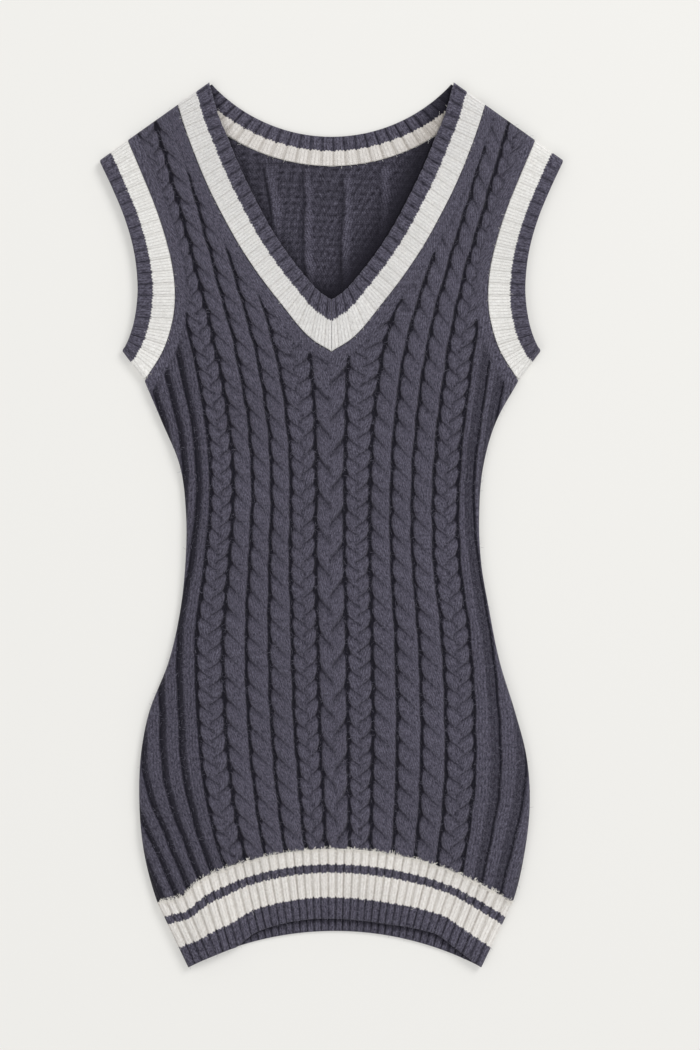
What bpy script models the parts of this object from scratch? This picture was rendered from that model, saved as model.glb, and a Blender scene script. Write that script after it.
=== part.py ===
"""Sweater vest dress, laid flat: a cable-knit front over the back, joined at the sides and
shoulders, with ribbed bands round the neck, the armholes and the hem.

Metres, +Z up, +Y from the hem to the shoulders. The tables and sizes below are in millimetres.
Right and left are the wearer's, so the right side is at -X.
"""

import math

import bmesh
import bpy
import numpy as np
from mathutils import Vector
from mathutils.geometry import delaunay_2d_cdt

MM = 0.001

# Layers, from the surface the dress lies on upwards.
BACK_TOP = 3.0          # inside face of the back, which lies on the surface
LIP_TOP = 4.7           # the back's edge turns up to here at the sides and shoulders
LIP_FOOT = 3.6          # and its outside starts to turn under from here
LIP_WIDTH = 2.0
FRONT_BOTTOM = 5.0      # inside face of the front
PURL_GROUND = 7.0       # outside face of the front in the purl grooves
EDGE_WALL = 0.6         # what is left of the front's height at a folded edge
FOLD_RADIUS = 6.0       # the front rounds down over this width at a folded edge

# Relief of the knitting above the purl ground.
ROPE_RISE = 3.4
BRAID_RISE = 3.0
PLAIT_RISE = 3.5
RIB_RISE = 2.3
STRIP_RISE = 1.5        # plain strip that runs beside the neck and armhole bands
STRIP_WIDTH = 9.0
STRIP_FADE = 5.0
SEAM_TAPER = (-2.0, 4.0)    # all relief fades between these distances from a sewn edge

# Cables: how far apart the crossings are along the dress, and how far a strand falls across them.
ROPE_PITCH = 21.0
ROPE_FALL = 21.0
BRAID_PITCH = 16.0
BRAID_FALL = 9.0
PLAIT_PITCH = 32.5
PLAIT_FALL = 15.0

# Ribbed bands.
BAND_GROOVE = 2.4       # height of a band above its own inside face, in a groove
BAND_CREST = 3.6        # and on a rib
NECK_RIB_PITCH = 12.5
BACK_NECK_RIB_PITCH = 9.6
HEM_RIB_PITCH = 7.8
SHOULDER_RIB_PITCH = 14.5
UNDERARM_RIB_PITCH = 9.5
RIB_CRESTS = (0.28, 0.72)   # where a rib's flat crest starts and ends, as shares of its pitch
RIB_RIDGE = (0.5,)          # a simpler rib for the back of the hem
END_STATIONS = (0.0, 1.4, 3.4)  # sections of a band near its folded ends
SLOPE_TO_SEAM = 0.93        # a front band is a little lower at its seam
EDGE_NOSE = 0.07            # share of a band's width that its round free edge takes
MITRE_GAP = 0.2             # half the gap between the two halves of the neckband at the tip
ARMHOLE_TURN_TOP = 8.3      # height of an armhole band where it folds over
ARMHOLE_BACK_STATIONS = 18  # sections of its plain underside

SEAM_GAP = 0.45         # between neighbouring pieces, in plan
HEM_SEAM_GAP = 0.7      # the same, measured along the dress, where the seam slants
OUTLINE_STEP = 12.0     # spacing of points along a panel's edge
SIDE_STEP = 16.0        # the same along the back's sides
SEWN_STEP = 9.0         # and where an edge curves to meet a band
HEM_STEP = 5.0          # and along the front's seam with its hem band

# Side seams, from the hem to the underarm. The dress is a little wider on its left (+X).
SIDE_COLUMNS = ("height", "right_side", "left_side")
SIDES = (
    (-407.0, -131.1, 137.2),
    (-378.0, -146.7, 152.6),
    (-345.0, -160.4, 166.9),
    (-305.0, -171.3, 176.6),
    (-249.0, -176.6, 182.2),
    (-209.0, -174.8, 178.5),
    (-175.0, -168.4, 169.6),
    (-124.0, -149.1, 154.1),
    (-78.0, -138.8, 144.8),
    (-33.0, -134.1, 137.3),
    (10.0, -133.6, 135.7),
    (56.0, -139.7, 139.8),
    (95.0, -155.8, 151.2),
    (132.5, -171.8, 171.8),
)

# Wale lines: the field of cables is B R R R | B C B | R R R B, where B is a braid, R a rope and
# C the centre plait. Its four bars are given at each height, with the pitch of the side ribs.
WALE_COLUMNS = ("height", "field_start", "centre_start", "centre_end", "field_end",
                "first_rib_pitch", "last_rib_pitch")
WALES = (
    (-350.0, -83.0, -15.0, 31.0, 112.0, 14.0, 20.0),
    (-300.0, -102.6, -23.5, 35.4, 122.8, 14.5, 21.0),
    (-234.0, -117.0, -30.0, 37.3, 131.0, 18.0, 23.5),
    (-170.0, -122.8, -34.5, 38.2, 131.1, 17.0, 22.0),
    (-100.0, -124.0, -36.3, 37.3, 126.5, 16.5, 19.3),
    (-30.0, -115.5, -38.0, 35.4, 117.3, 13.8, 17.0),
    (29.0, -110.9, -37.3, 35.4, 116.4, 12.4, 13.8),
    (90.0, -114.5, -40.0, 38.2, 121.0, 13.0, 14.7),
    (125.0, -120.1, -44.6, 41.9, 125.6, 14.5, 15.6),
    (170.0, -129.3, -53.8, 50.1, 132.0, 15.0, 16.0),
    (230.0, -143.1, -72.0, 70.5, 142.1, 15.0, 16.0),
    (300.0, -161.5, -91.0, 93.0, 162.4, 15.0, 16.0),
    (400.0, -190.0, -121.0, 122.0, 190.0, 15.0, 16.0),
)
BRAID, ROPE, PLAIT, RIB = "braid", "rope", "plait", "rib"
# For each cable: its pitch, its fall, the shares of its width that have a column of points, and
# the points' places in each turn.
LATTICES = {
    ROPE: (ROPE_PITCH, ROPE_FALL, (0.14, 0.5, 0.86), (0.0, 0.28, 0.72)),
    BRAID: (BRAID_PITCH, BRAID_FALL, (0.13, 0.38, 0.62, 0.87), (0.0, 0.5)),
    PLAIT: (PLAIT_PITCH, PLAIT_FALL, (0.1, 0.38, 0.62, 0.9), (0.0, 0.25, 0.5, 0.75)),
}
RIB_STEP = 26.0
RIB_SHARES = (0.24, 0.76)
GROOVE_STEP = ROPE_PITCH / 2
FIELD_START = ((BRAID, 22.5), (ROPE, 19.0), (ROPE, 19.0), (ROPE, 19.0))
FIELD_CENTRE = ((BRAID, 23.5), (PLAIT, 26.0), (BRAID, 23.5))
FIELD_END = ((ROPE, 19.0), (ROPE, 19.0), (ROPE, 19.0), (BRAID, 22.5))
SIDE_RIBS = 4

# The V neckband, a row for each section across it: the point on its opening edge and the point on
# its seam. It runs from the tip of the V to the shoulder, and the other half mirrors it.
NECK_COLUMNS = ("opening_x", "opening_y", "seam_x", "seam_y")
NECK_SECTIONS = (
    (0.0, 207.0, 0.0, 159.5),
    (8.0, 212.0, 16.0, 169.2),
    (24.1, 228.6, 48.0, 205.5),
    (41.9, 251.6, 67.5, 231.0),
    (55.9, 273.1, 82.5, 253.5),
    (72.3, 304.2, 100.0, 284.5),
    (84.9, 330.5, 113.5, 311.5),
    (95.7, 356.9, 125.8, 341.0),
    (103.8, 376.5, 134.2, 364.0),
    (112.3, 406.5, 141.0, 386.1),
)

# An armhole band, in the same way, from the shoulder to the underarm.
ARMHOLE_SECTIONS = (
    (213.25, 334.8, 187.4, 353.1),
    (201.6, 310.0, 174.4, 322.5),
    (190.0, 282.0, 162.0, 292.0),
    (182.4, 256.0, 152.8, 264.0),
    (179.2, 236.3, 146.9, 240.5),
    (178.1, 212.4, 143.9, 213.0),
    (181.0, 188.5, 146.3, 186.5),
    (185.7, 172.3, 154.8, 160.0),
    (191.8, 159.3, 171.8, 132.5),
)

# Back neck: two arcs about one centre.
BACK_NECK_CENTRE_Y = 507.0
BACK_NECK_RADIUS = 150.0
BACK_NECK_DEPTH = 27.0
BACK_NECK_HALF_WIDTH = 109.8
BACK_NECK_SEAM_HALF_WIDTH = 134.0

# Hem: the seam and the back's edge are arcs; the front's edge rises above the back's.
HEM_CENTRE_X = 2.9
HEM_SEAM_TOP = -297.4
HEM_SEAM_RADIUS = 294.0
HEM_EDGE_TOP = -373.3
HEM_EDGE_RADIUS = 290.0
HEM_RISE_COLUMNS = ("x", "rise_of_front_edge")
HEM_RISES = (
    (-140.0, 0.0),
    (-86.0, 0.5),
    (-72.0, 7.5),
    (-50.0, 10.8),
    (-20.0, 12.2),
    (20.0, 11.3),
    (53.0, 11.0),
    (84.0, 12.8),
    (98.0, 12.8),
    (109.0, 8.5),
    (122.0, 4.0),
    (140.0, 0.0),
)

# Soft folds of the front: x, y, how far each reaches along x and y, and how high it stands.
FOLD_COLUMNS = ("x", "y", "reach_x", "reach_y", "height")
SOFT_FOLDS = (
    (-118.0, -372.0, 13.0, 60.0, 3.2),
    (88.0, -400.0, 30.0, 38.0, 3.4),
    (-30.0, -385.0, 42.0, 25.0, 1.2),
)
HEM_SEAM_DIP = 8.0      # the seam dips beside the first fold
HEM_SEAM_DIP_X = -139.0
HEM_SEAM_DIP_REACH = 13.0

# The back's section: how deep in from its edge, and its height at a folded and at a sewn edge.
LIP_COLUMNS = ("depth", "folded_height", "sewn_height")
LIP_SECTION = (
    (5.0, 0.0, 0.0),
    (1.6, 1.1, 0.0),
    (0.0, LIP_FOOT, 0.3),
    (0.3, LIP_TOP, BACK_TOP - 0.2),
    (LIP_WIDTH, LIP_TOP, BACK_TOP),
    (3.4, BACK_TOP, BACK_TOP),
)
INSETS = (0.0, 1.5, 4.0)    # depths of the front's rounded edge

for item in list(bpy.data.objects):
    bpy.data.objects.remove(item, do_unlink=True)
DRESS = bpy.data.collections.new("sweater_vest_dress")
bpy.context.scene.collection.children.link(DRESS)


def smooth_through(stations, values):
    """Return a curve, as a function, that passes smoothly through values at rising stations."""
    stations = np.asarray(stations, float)
    values = np.asarray(values, float)
    slopes = np.gradient(values, stations)

    def at(where):
        where = np.asarray(where, float)
        left = np.clip(np.searchsorted(stations, where, side="right") - 1, 0, len(stations) - 2)
        span = stations[left + 1] - stations[left]
        t = (where - stations[left]) / span
        return ((1 + 2 * t) * (1 - t) ** 2 * values[left] + t * (1 - t) ** 2 * span * slopes[left]
                + t * t * (3 - 2 * t) * values[left + 1]
                + t * t * (t - 1) * span * slopes[left + 1])

    return at


def table_curves(table, columns):
    """Return a smooth curve for each column after the first, by name."""
    rows = np.array(table)
    return {name: smooth_through(rows[:, 0], rows[:, index])
            for index, name in enumerate(columns) if index}


def section_curve(sections):
    """Return a function of 0..1 that gives the opening and seam points of a band's section."""
    rows = np.array(sections)
    middle = (rows[:, :2] + rows[:, 2:]) / 2
    steps = np.linalg.norm(np.diff(middle, axis=0), axis=1)
    along = np.concatenate(([0.0], np.cumsum(steps)))
    curves = [smooth_through(along / along[-1], rows[:, index]) for index in range(4)]

    def at(fraction):
        return (np.array((curves[0](fraction), curves[1](fraction))),
                np.array((curves[2](fraction), curves[3](fraction))))

    return at, along[-1]


def arc_y(x, top, radius):
    """Height of an arc of the hem at x."""
    return top - radius + np.sqrt(radius ** 2 - (np.asarray(x, float) - HEM_CENTRE_X) ** 2)


SIDE_CURVES = table_curves(SIDES, SIDE_COLUMNS)
WALE_CURVES = table_curves(WALES, WALE_COLUMNS)
HEM_RISE = table_curves(HEM_RISES, HEM_RISE_COLUMNS)["rise_of_front_edge"]
NECK_SECTION, NECK_LENGTH = section_curve(NECK_SECTIONS)
ARMHOLE_SECTION, ARMHOLE_LENGTH = section_curve(ARMHOLE_SECTIONS)


def soft_fold_height(x, y):
    """Height of the front's soft folds at a point."""
    return sum(height * math.exp(-((x - fold_x) / reach_x) ** 2 - ((y - fold_y) / reach_y) ** 2)
               for fold_x, fold_y, reach_x, reach_y, height in SOFT_FOLDS)


def hem_seam_y(x, front):
    """Height of the seam between a panel and its hem band; the front's dips beside its fold."""
    dip = HEM_SEAM_DIP * np.exp(-((np.asarray(x, float) - HEM_SEAM_DIP_X)
                                  / HEM_SEAM_DIP_REACH) ** 2)
    return arc_y(x, HEM_SEAM_TOP, HEM_SEAM_RADIUS) - (dip if front else 0.0)


def hem_edge_y(x, front):
    """Height of a hem band's free edge."""
    return arc_y(x, HEM_EDGE_TOP, HEM_EDGE_RADIUS) + (np.clip(HEM_RISE(x), 0, None) if front
                                                      else 0.0)


def side_x(side, y):
    """Place of a side seam: side is -1 or +1."""
    return SIDE_CURVES["right_side" if side < 0 else "left_side"](y)


def side_corner(side, line_y, front):
    """Return the point where a line across the dress meets a side seam."""
    x = side * 150.0  # any point near the side will do to start from
    for _ in range(30):
        x = float(side_x(side, line_y(x, front)))
    return np.array((x, float(line_y(x, front))))


# ---------------------------------------------------------------- outlines

def resampled(points, step):
    """Return a polyline's points at even steps, with both its ends."""
    points = np.asarray(points)
    lengths = np.linalg.norm(np.diff(points, axis=0), axis=1)
    along = np.concatenate(([0.0], np.cumsum(lengths)))
    count = max(1, round(along[-1] / step))
    where = np.linspace(0, along[-1], count + 1)
    return np.column_stack([np.interp(where, along, points[:, axis]) for axis in (0, 1)])


def seam_line(section, side, outwards_gap):
    """Return a band's seam line, moved away from the band by a gap."""
    line = []
    for fraction in np.linspace(0, 1, 60):
        opening, seam = section(fraction)
        away = (seam - opening) / np.linalg.norm(seam - opening)
        line.append(seam + away * outwards_gap)
    line = np.array(line)
    line[:, 0] *= side
    return line


def panel_outline(front):
    """Return a panel's runs of edge, in order round it, each marked folded or sewn."""
    ends = [side_corner(side, hem_seam_y, front) for side in (-1, 1)]
    hem_x = np.linspace(ends[0][0], ends[1][0], 90)
    hem = np.column_stack((hem_x, hem_seam_y(hem_x, front) + HEM_SEAM_GAP))
    sides = {}
    armholes = {}
    for side in (-1, 1):
        armholes[side] = seam_line(ARMHOLE_SECTION, side, SEAM_GAP)
        corner = armholes[side][-1]
        heights = np.linspace(hem[0 if side < 0 else -1][1], corner[1], 90)
        run = np.column_stack((side_x(side, heights), heights))
        run[-1] = corner
        sides[side] = run
    hem[0] = sides[-1][0]
    hem[-1] = sides[1][0]
    if front:
        half = seam_line(NECK_SECTION, 1, SEAM_GAP)
        half[0] = (0.0, NECK_SECTIONS[0][3] - SEAM_GAP)
        neck = np.concatenate((half[::-1], half[1:] * (-1, 1)))
    else:
        neck = arc_of_neck(BACK_NECK_RADIUS + BACK_NECK_DEPTH + SEAM_GAP,
                           BACK_NECK_SEAM_HALF_WIDTH)[::-1]
    return [
        ("sewn", resampled(hem, HEM_STEP if front else OUTLINE_STEP)),
        ("folded", resampled(sides[1], OUTLINE_STEP if front else SIDE_STEP)),
        ("sewn", resampled(armholes[1][::-1], SEWN_STEP)),
        ("folded", resampled((armholes[1][0], neck[0]), OUTLINE_STEP)),
        ("sewn", resampled(neck, SEWN_STEP)),
        ("folded", resampled((neck[-1], armholes[-1][0]), OUTLINE_STEP)),
        ("sewn", resampled(armholes[-1], SEWN_STEP)),
        ("folded", resampled(sides[-1][::-1], OUTLINE_STEP if front else SIDE_STEP)),
    ]


def arc_of_neck(radius, half_width):
    """Return an arc of the back neck, from -X to +X."""
    half_angle = math.asin(half_width / radius)
    angles = np.linspace(-half_angle, half_angle, 60)
    return np.column_stack((radius * np.sin(angles),
                            BACK_NECK_CENTRE_Y - radius * np.cos(angles)))


def closed_loop(runs):
    """Join runs of edge into one closed loop of points."""
    return np.concatenate([points[:-1] for _, points in runs])


def inset_loop(loop, depth):
    """Return a counter-clockwise loop moved inwards by a depth."""
    before = loop - np.roll(loop, 1, axis=0)
    after = np.roll(loop, -1, axis=0) - loop
    inset = []
    for point, first, second in zip(loop, before, after):
        first = np.array((-first[1], first[0])) / np.linalg.norm(first)
        second = np.array((-second[1], second[0])) / np.linalg.norm(second)
        bisector = first + second
        bisector /= np.linalg.norm(bisector)
        inset.append(point + bisector * depth / max(0.5, float(bisector @ first)))
    return np.array(inset)


def distance_to(polylines, points):
    """Return how far each point is from the nearest of some polylines."""
    points = np.asarray(points, float)
    nearest = np.full(len(points), np.inf)
    for line in polylines:
        for start, end in zip(line[:-1], line[1:]):
            run = end - start
            t = np.clip(((points - start) @ run) / (run @ run), 0, 1)
            gap = points - (start + t[:, None] * run)
            nearest = np.minimum(nearest, np.hypot(gap[:, 0], gap[:, 1]))
    return nearest


# ---------------------------------------------------------------- knitting of the front

def wale_spans(y):
    """Return the cables and ribs across the front at a height: kind, start and end."""
    at = {name: float(curve(y)) for name, curve in WALE_CURVES.items()}
    spans = []
    for group, start, end in ((FIELD_START, "field_start", "centre_start"),
                              (FIELD_CENTRE, "centre_start", "centre_end"),
                              (FIELD_END, "centre_end", "field_end")):
        total = sum(share for _, share in group)
        x = at[start]
        for kind, share in group:
            width = (at[end] - at[start]) * share / total
            spans.append((kind, x, x + width))
            x += width
    for index in range(SIDE_RIBS):
        pitch = at["first_rib_pitch"]
        x = at["field_start"] - pitch * index
        spans.insert(0, (RIB, x - pitch, x))
        pitch = at["last_rib_pitch"]
        x = at["field_end"] + pitch * index
        spans.append((RIB, x, x + pitch))
    return spans


def lobe(phase):
    """Height of a strand along a cable, from low in its crossing to 1 on its crown."""
    return 0.4 + 0.6 * abs(math.sin(math.pi * phase)) ** 0.7


def plaited(u, y, pitch, fall):
    """Relief of a plait, whose strands fall towards its middle from both sides in turn."""
    inwards = min(u, 1 - u) * 2
    turn = 0.0 if u < 0.5 else 0.5
    return lobe((y + fall * inwards) / pitch + turn)


def cable_relief(kind, u, y):
    """Relief of a cable or rib at a share u of its width."""
    dome = max(0.0, math.sin(math.pi * u)) ** 0.6
    if kind == ROPE:
        return ROPE_RISE * dome * lobe((y + ROPE_FALL * u) / ROPE_PITCH)
    if kind == BRAID:
        return BRAID_RISE * dome * plaited(u, y, BRAID_PITCH, BRAID_FALL)
    if kind == PLAIT:
        return PLAIT_RISE * dome * plaited(u, y, PLAIT_PITCH, PLAIT_FALL)
    return RIB_RISE * min(1.0, math.sin(math.pi * u) * 1.7) if 0 < u < 1 else 0.0


def relief_at(x, y):
    """Relief of the front at a point."""
    for kind, start, end in wale_spans(y):
        if start <= x <= end:
            return cable_relief(kind, (x - start) / (end - start), y)
    return 0.0


def smooth_step(low, high, value):
    """Rise smoothly from 0 at low to 1 at high."""
    t = np.clip((np.asarray(value, float) - low) / (high - low), 0, 1)
    return t * t * (3 - 2 * t)


def wale_lattice(kind, low, high):
    """Return the columns of a cable or rib: for each share of its width, its points' heights."""
    if kind == RIB:
        return {u: np.arange(low, high, RIB_STEP) for u in RIB_SHARES}
    pitch, fall, shares, phases = LATTICES[kind]
    turns = np.arange(math.floor(low / pitch), math.ceil((high + fall) / pitch))
    rows = np.concatenate([(turn + np.array(phases)) * pitch for turn in turns])
    if kind == ROPE:
        return {u: rows - fall * u for u in shares}
    return {u: rows - fall * min(u, 1 - u) * 2 for u in shares}


def front_lines(low, high):
    """Return the ridges and grooves of the front's knitting, each marked ribbed or not."""
    lines = []
    kinds = [kind for kind, _, _ in wale_spans(0.0)]
    for index, kind in enumerate(kinds):
        ribbed = kind == RIB or kinds[index - 1] == RIB
        step = RIB_STEP if ribbed else GROOVE_STEP
        heights = np.arange(math.floor(low / step), math.ceil(high / step)) * step
        lines.append((ribbed, [(wale_spans(y)[index][1], y) for y in heights]))
        columns = []
        for u, heights in wale_lattice(kind, low, high).items():
            spans = [wale_spans(y)[index] for y in heights]
            columns.append([(start + u * (end - start), y)
                            for (_, start, end), y in zip(spans, heights)])
        if kind == RIB:
            lines.extend((True, column) for column in columns)
            continue
        lines.extend((False, row) for row in zip(*columns))
        if kind == ROPE:
            continue
        left, right = columns[1:3]
        phases = len(LATTICES[kind][3])
        for row in range(len(left) - 1):
            rising = row % phases < phases / 2
            lines.append((False, (right[row], left[row + 1]) if rising
                          else (left[row], right[row + 1])))
    return lines


def joined_points(lines, held):
    """Return the held points of some lines, and the edges that join those next to each other."""
    points = []
    edges = []
    number = 0
    for line in lines:
        last = None
        for point in line:
            if held[number]:
                points.append(point)
                if last is not None:
                    edges.append((last, len(points) - 1))
                last = len(points) - 1
            else:
                last = None
            number += 1
    return points, edges


# ---------------------------------------------------------------- meshes

def material(name, colour):
    """Return a matt yarn material."""
    yarn = bpy.data.materials.new(name)
    yarn.use_nodes = True
    shader = yarn.node_tree.nodes["Principled BSDF"]
    shader.inputs["Base Color"].default_value = (*colour, 1.0)
    shader.inputs["Roughness"].default_value = 0.92
    shader.inputs["Metallic"].default_value = 0.0
    return yarn


def add_piece(name, mesh_builder, yarn):
    """Make an object from a bmesh whose points are in millimetres."""
    bmesh.ops.remove_doubles(mesh_builder, verts=mesh_builder.verts, dist=1e-4)
    bmesh.ops.scale(mesh_builder, vec=Vector((MM, MM, MM)), verts=mesh_builder.verts)
    bmesh.ops.recalc_face_normals(mesh_builder, faces=mesh_builder.faces)
    mesh = bpy.data.meshes.new(name)
    mesh_builder.to_mesh(mesh)
    mesh_builder.free()
    mesh.materials.append(yarn)
    piece = bpy.data.objects.new(name, mesh)
    DRESS.objects.link(piece)
    return piece


def skin_loops(builder, loops):
    """Join closed loops of points, one after another, with quads."""
    for lower, upper in zip(loops[:-1], loops[1:]):
        for index in range(len(lower)):
            after = (index + 1) % len(lower)
            builder.faces.new((lower[index], lower[after], upper[after], upper[index]))


def fill_flat(builder, loop):
    """Close a flat loop with triangles."""
    places = [Vector((vert.co.x, vert.co.y)) for vert in loop]
    _, _, triangles, corners, _, sources = delaunay_2d_cdt(places, [], [list(range(len(loop)))],
                                                           0, 1e-5)
    for face, source in zip(triangles, sources):
        if source:
            builder.faces.new([loop[corners[index][0]] for index in face])


def new_loop(builder, loop, heights):
    """Add a loop of points at their heights."""
    return [builder.verts.new((x, y, z)) for (x, y), z in zip(loop, heights)]


def are_inside(loop, points):
    """Return which points are inside a loop."""
    x, y = points.T
    inside = np.zeros(len(points), bool)
    for (x1, y1), (x2, y2) in zip(loop, np.roll(loop, -1, axis=0)):
        if y1 != y2:
            inside ^= ((y1 > y) != (y2 > y)) & (x < x1 + (y - y1) * (x2 - x1) / (y2 - y1))
    return inside


def rim_of(builder):
    """Return the points round the open edge of a surface, in order."""
    following = {}
    for edge in builder.edges:
        if len(edge.link_loops) == 1:
            loop = edge.link_loops[0]
            following[loop.vert] = loop.link_loop_next.vert
    first = next(iter(following))
    rim = [first]
    while following[rim[-1]] is not first:
        rim.append(following[rim[-1]])
    return rim


def make_front_panel(yarn):
    """The cable-knit front: knitting raised over a flat inside."""
    runs = panel_outline(front=True)
    folded = [points for mark, points in runs if mark == "folded"]
    sewn = [points for mark, points in runs if mark == "sewn"]
    loop = closed_loop(runs)
    lines = front_lines(loop[:, 1].min(), loop[:, 1].max())
    ribbed = np.array([mark for mark, line in lines for _ in line])
    every = np.array([point for _, line in lines for point in line])
    held = are_inside(inset_loop(loop, FOLD_RADIUS + 0.5), every)
    held |= (ribbed & (distance_to(sewn, every) > FOLD_RADIUS)
             & (distance_to((folded[0], folded[3]), every) < 2 * FOLD_RADIUS))
    points, edges = joined_points([line for _, line in lines], held)
    outline = list(range(len(points), len(points) + len(loop)))
    for depth in INSETS:
        ring = inset_loop(loop, depth)
        start = len(points)
        points.extend(map(tuple, ring))
        edges.extend((start + index, start + (index + 1) % len(ring))
                     for index in range(len(ring)))
    flat, _, triangles, _, _, sources = delaunay_2d_cdt(
        [Vector(point) for point in points], edges, [outline], 0, 0.05)
    triangles = [face for face, source in zip(triangles, sources) if source]
    places = np.array([tuple(point) for point in flat])

    relief = np.array([relief_at(x, y) for x, y in places])
    cables = smooth_step(STRIP_WIDTH, STRIP_WIDTH + STRIP_FADE, distance_to(sewn[1:], places))
    relief = cables * relief + (1 - cables) * STRIP_RISE
    relief *= smooth_step(*SEAM_TAPER, distance_to(sewn, places))
    folds = np.array([soft_fold_height(x, y) for x, y in places])
    full = PURL_GROUND + relief + folds - FRONT_BOTTOM - EDGE_WALL
    to_fold = np.clip(distance_to(folded, places) / FOLD_RADIUS, 0, 1)
    heights = FRONT_BOTTOM + EDGE_WALL + full * np.sqrt(1 - (1 - to_fold) ** 2)

    builder = bmesh.new()
    tops = [builder.verts.new((x, y, z)) for (x, y), z in zip(places, heights)]
    for face in triangles:
        builder.faces.new([tops[index] for index in face])
    rim = rim_of(builder)
    feet = [builder.verts.new((vert.co.x, vert.co.y, FRONT_BOTTOM)) for vert in rim]
    skin_loops(builder, [rim, feet])
    fill_flat(builder, feet)
    loose = [vert for vert in builder.verts if not vert.link_faces]
    bmesh.ops.delete(builder, geom=loose, context="VERTS")
    return add_piece("front_panel", builder, yarn)


def make_back_panel(yarn):
    """The back: flat underneath, with its folded edges turned up to meet the front's."""
    runs = panel_outline(front=False)
    folded = [points for mark, points in runs if mark == "folded"]
    loop = closed_loop(runs)
    builder = bmesh.new()

    def shaped(depth, at_fold, at_seam):
        ring = inset_loop(loop, depth)
        closeness = 1 - smooth_step(depth + 1.0, depth + 7.0, distance_to(folded, ring))
        return new_loop(builder, ring, at_seam + (at_fold - at_seam) * closeness)

    rings = [shaped(*row) for row in LIP_SECTION]
    skin_loops(builder, rings)
    fill_flat(builder, rings[0])
    fill_flat(builder, rings[-1])
    return add_piece("back_panel", builder, yarn)


def edge_ring(opening, seam, under, over, bow=0.0):
    """Return the five points round a band: its round free edge, its top, its seam and its foot."""
    near = opening + (seam - opening) * EDGE_NOSE
    top, top_edge = over
    return [(*opening, (under + top) / 2 + bow), (*near, top + bow), (*seam, top_edge),
            (*seam, under), (*near, under + bow)]


def rib_stations(start, end, pitch_at, crests=RIB_CRESTS):
    """Return positions along a band with the share of a rib's height at each."""
    edges = [start]
    while edges[-1] + pitch_at(edges[-1]) * 0.6 < end:
        edges.append(edges[-1] + pitch_at(edges[-1]))
    scale = (end - start) / (edges[-1] - start)
    edges = [start + (edge - start) * scale for edge in edges]
    stations = []
    for left, right in zip(edges[:-1], edges[1:]):
        stations.append((left, 0.0))
        stations.extend((left + (right - left) * crest, 1.0) for crest in crests)
    stations.append((edges[-1], 0.0))
    return stations


def loft(builder, rings, closed=False):
    """Skin rings of points into a solid: capped at its ends, or joined into a ring."""
    loops = [[builder.verts.new(point) for point in ring] for ring in rings]
    if closed:
        loops.append(loops[0])
    else:
        builder.faces.new(loops[0])
        builder.faces.new(loops[-1])
    skin_loops(builder, loops)


def fold_rounding(distance):
    """Share of its height that the front keeps at a distance from a folded edge."""
    return math.sqrt(1 - (1 - min(1.0, distance / FOLD_RADIUS)) ** 2)


def front_ring(opening, seam, rib, to_fold):
    """Return a ring of a front band; its height falls near a folded edge."""
    height = BAND_GROOVE + (BAND_CREST - BAND_GROOVE) * rib
    top = EDGE_WALL + (height - EDGE_WALL) * fold_rounding(to_fold)
    bow = soft_fold_height(*opening)
    seam_bow = soft_fold_height(*seam) * fold_rounding(to_fold)
    return edge_ring(opening, seam, FRONT_BOTTOM,
                     (FRONT_BOTTOM + top, FRONT_BOTTOM + top * SLOPE_TO_SEAM + seam_bow), bow)


def back_ring(opening, seam, rib, to_fold):
    """Return a ring of a back band; its edge turns up to the front's at a folded edge."""
    top = BAND_GROOVE + (BAND_CREST - BAND_GROOVE) * rib * 0.8
    top += (LIP_TOP - top) * float(1 - smooth_step(LIP_WIDTH, END_STATIONS[-1], to_fold))
    under = LIP_FOOT * float(1 - smooth_step(0.0, FOLD_RADIUS - 1.0, to_fold)) ** 2
    return edge_ring(opening, seam, under, (top, top))


def make_front_neckband(name, side, yarn):
    """Half of the V neckband, ribbed across, from the mitre at the tip to the shoulder."""
    stations = [(along, rib, FOLD_RADIUS) for along, rib in
                rib_stations(0.0, NECK_LENGTH - FOLD_RADIUS, lambda _: NECK_RIB_PITCH)]
    stations += [(NECK_LENGTH - end, 0.5, end) for end in reversed(END_STATIONS)]
    rings = []
    for along, rib, to_fold in stations:
        opening, seam = NECK_SECTION(along / NECK_LENGTH)
        opening[0] = max(opening[0], MITRE_GAP)
        seam[0] = max(seam[0], MITRE_GAP)
        rings.append(front_ring(opening * (side, 1), seam * (side, 1), rib, to_fold))
    builder = bmesh.new()
    loft(builder, rings)
    return add_piece(name, builder, yarn)


def with_folded_ends(inner, length, rib):
    """Return a band's stations with those of its two folded ends added."""
    return ([(end, rib) for end in END_STATIONS] + inner
            + [(length - end, rib) for end in reversed(END_STATIONS)])


def make_back_neckband(yarn):
    """The back of the neckband: a crescent between two arcs, seen from its inside."""
    radii = (BACK_NECK_RADIUS, BACK_NECK_RADIUS + BACK_NECK_DEPTH)
    halves = (math.asin(BACK_NECK_HALF_WIDTH / radii[0]),
              math.asin(BACK_NECK_SEAM_HALF_WIDTH / radii[1]))
    length = 2 * halves[0] * radii[0]
    inner = rib_stations(FOLD_RADIUS, length - FOLD_RADIUS, lambda _: BACK_NECK_RIB_PITCH)
    rings = []
    for along, rib in with_folded_ends(inner, length, 0.0):
        share = 2 * along / length - 1
        ring = []
        for radius, half in zip(radii, halves):
            angle = half * share
            ring.append(np.array((radius * math.sin(angle),
                                  BACK_NECK_CENTRE_Y - radius * math.cos(angle))))
        rings.append(back_ring(*ring, rib, min(along, length - along)))
    builder = bmesh.new()
    loft(builder, rings)
    return add_piece("neckband_back", builder, yarn)


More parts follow.
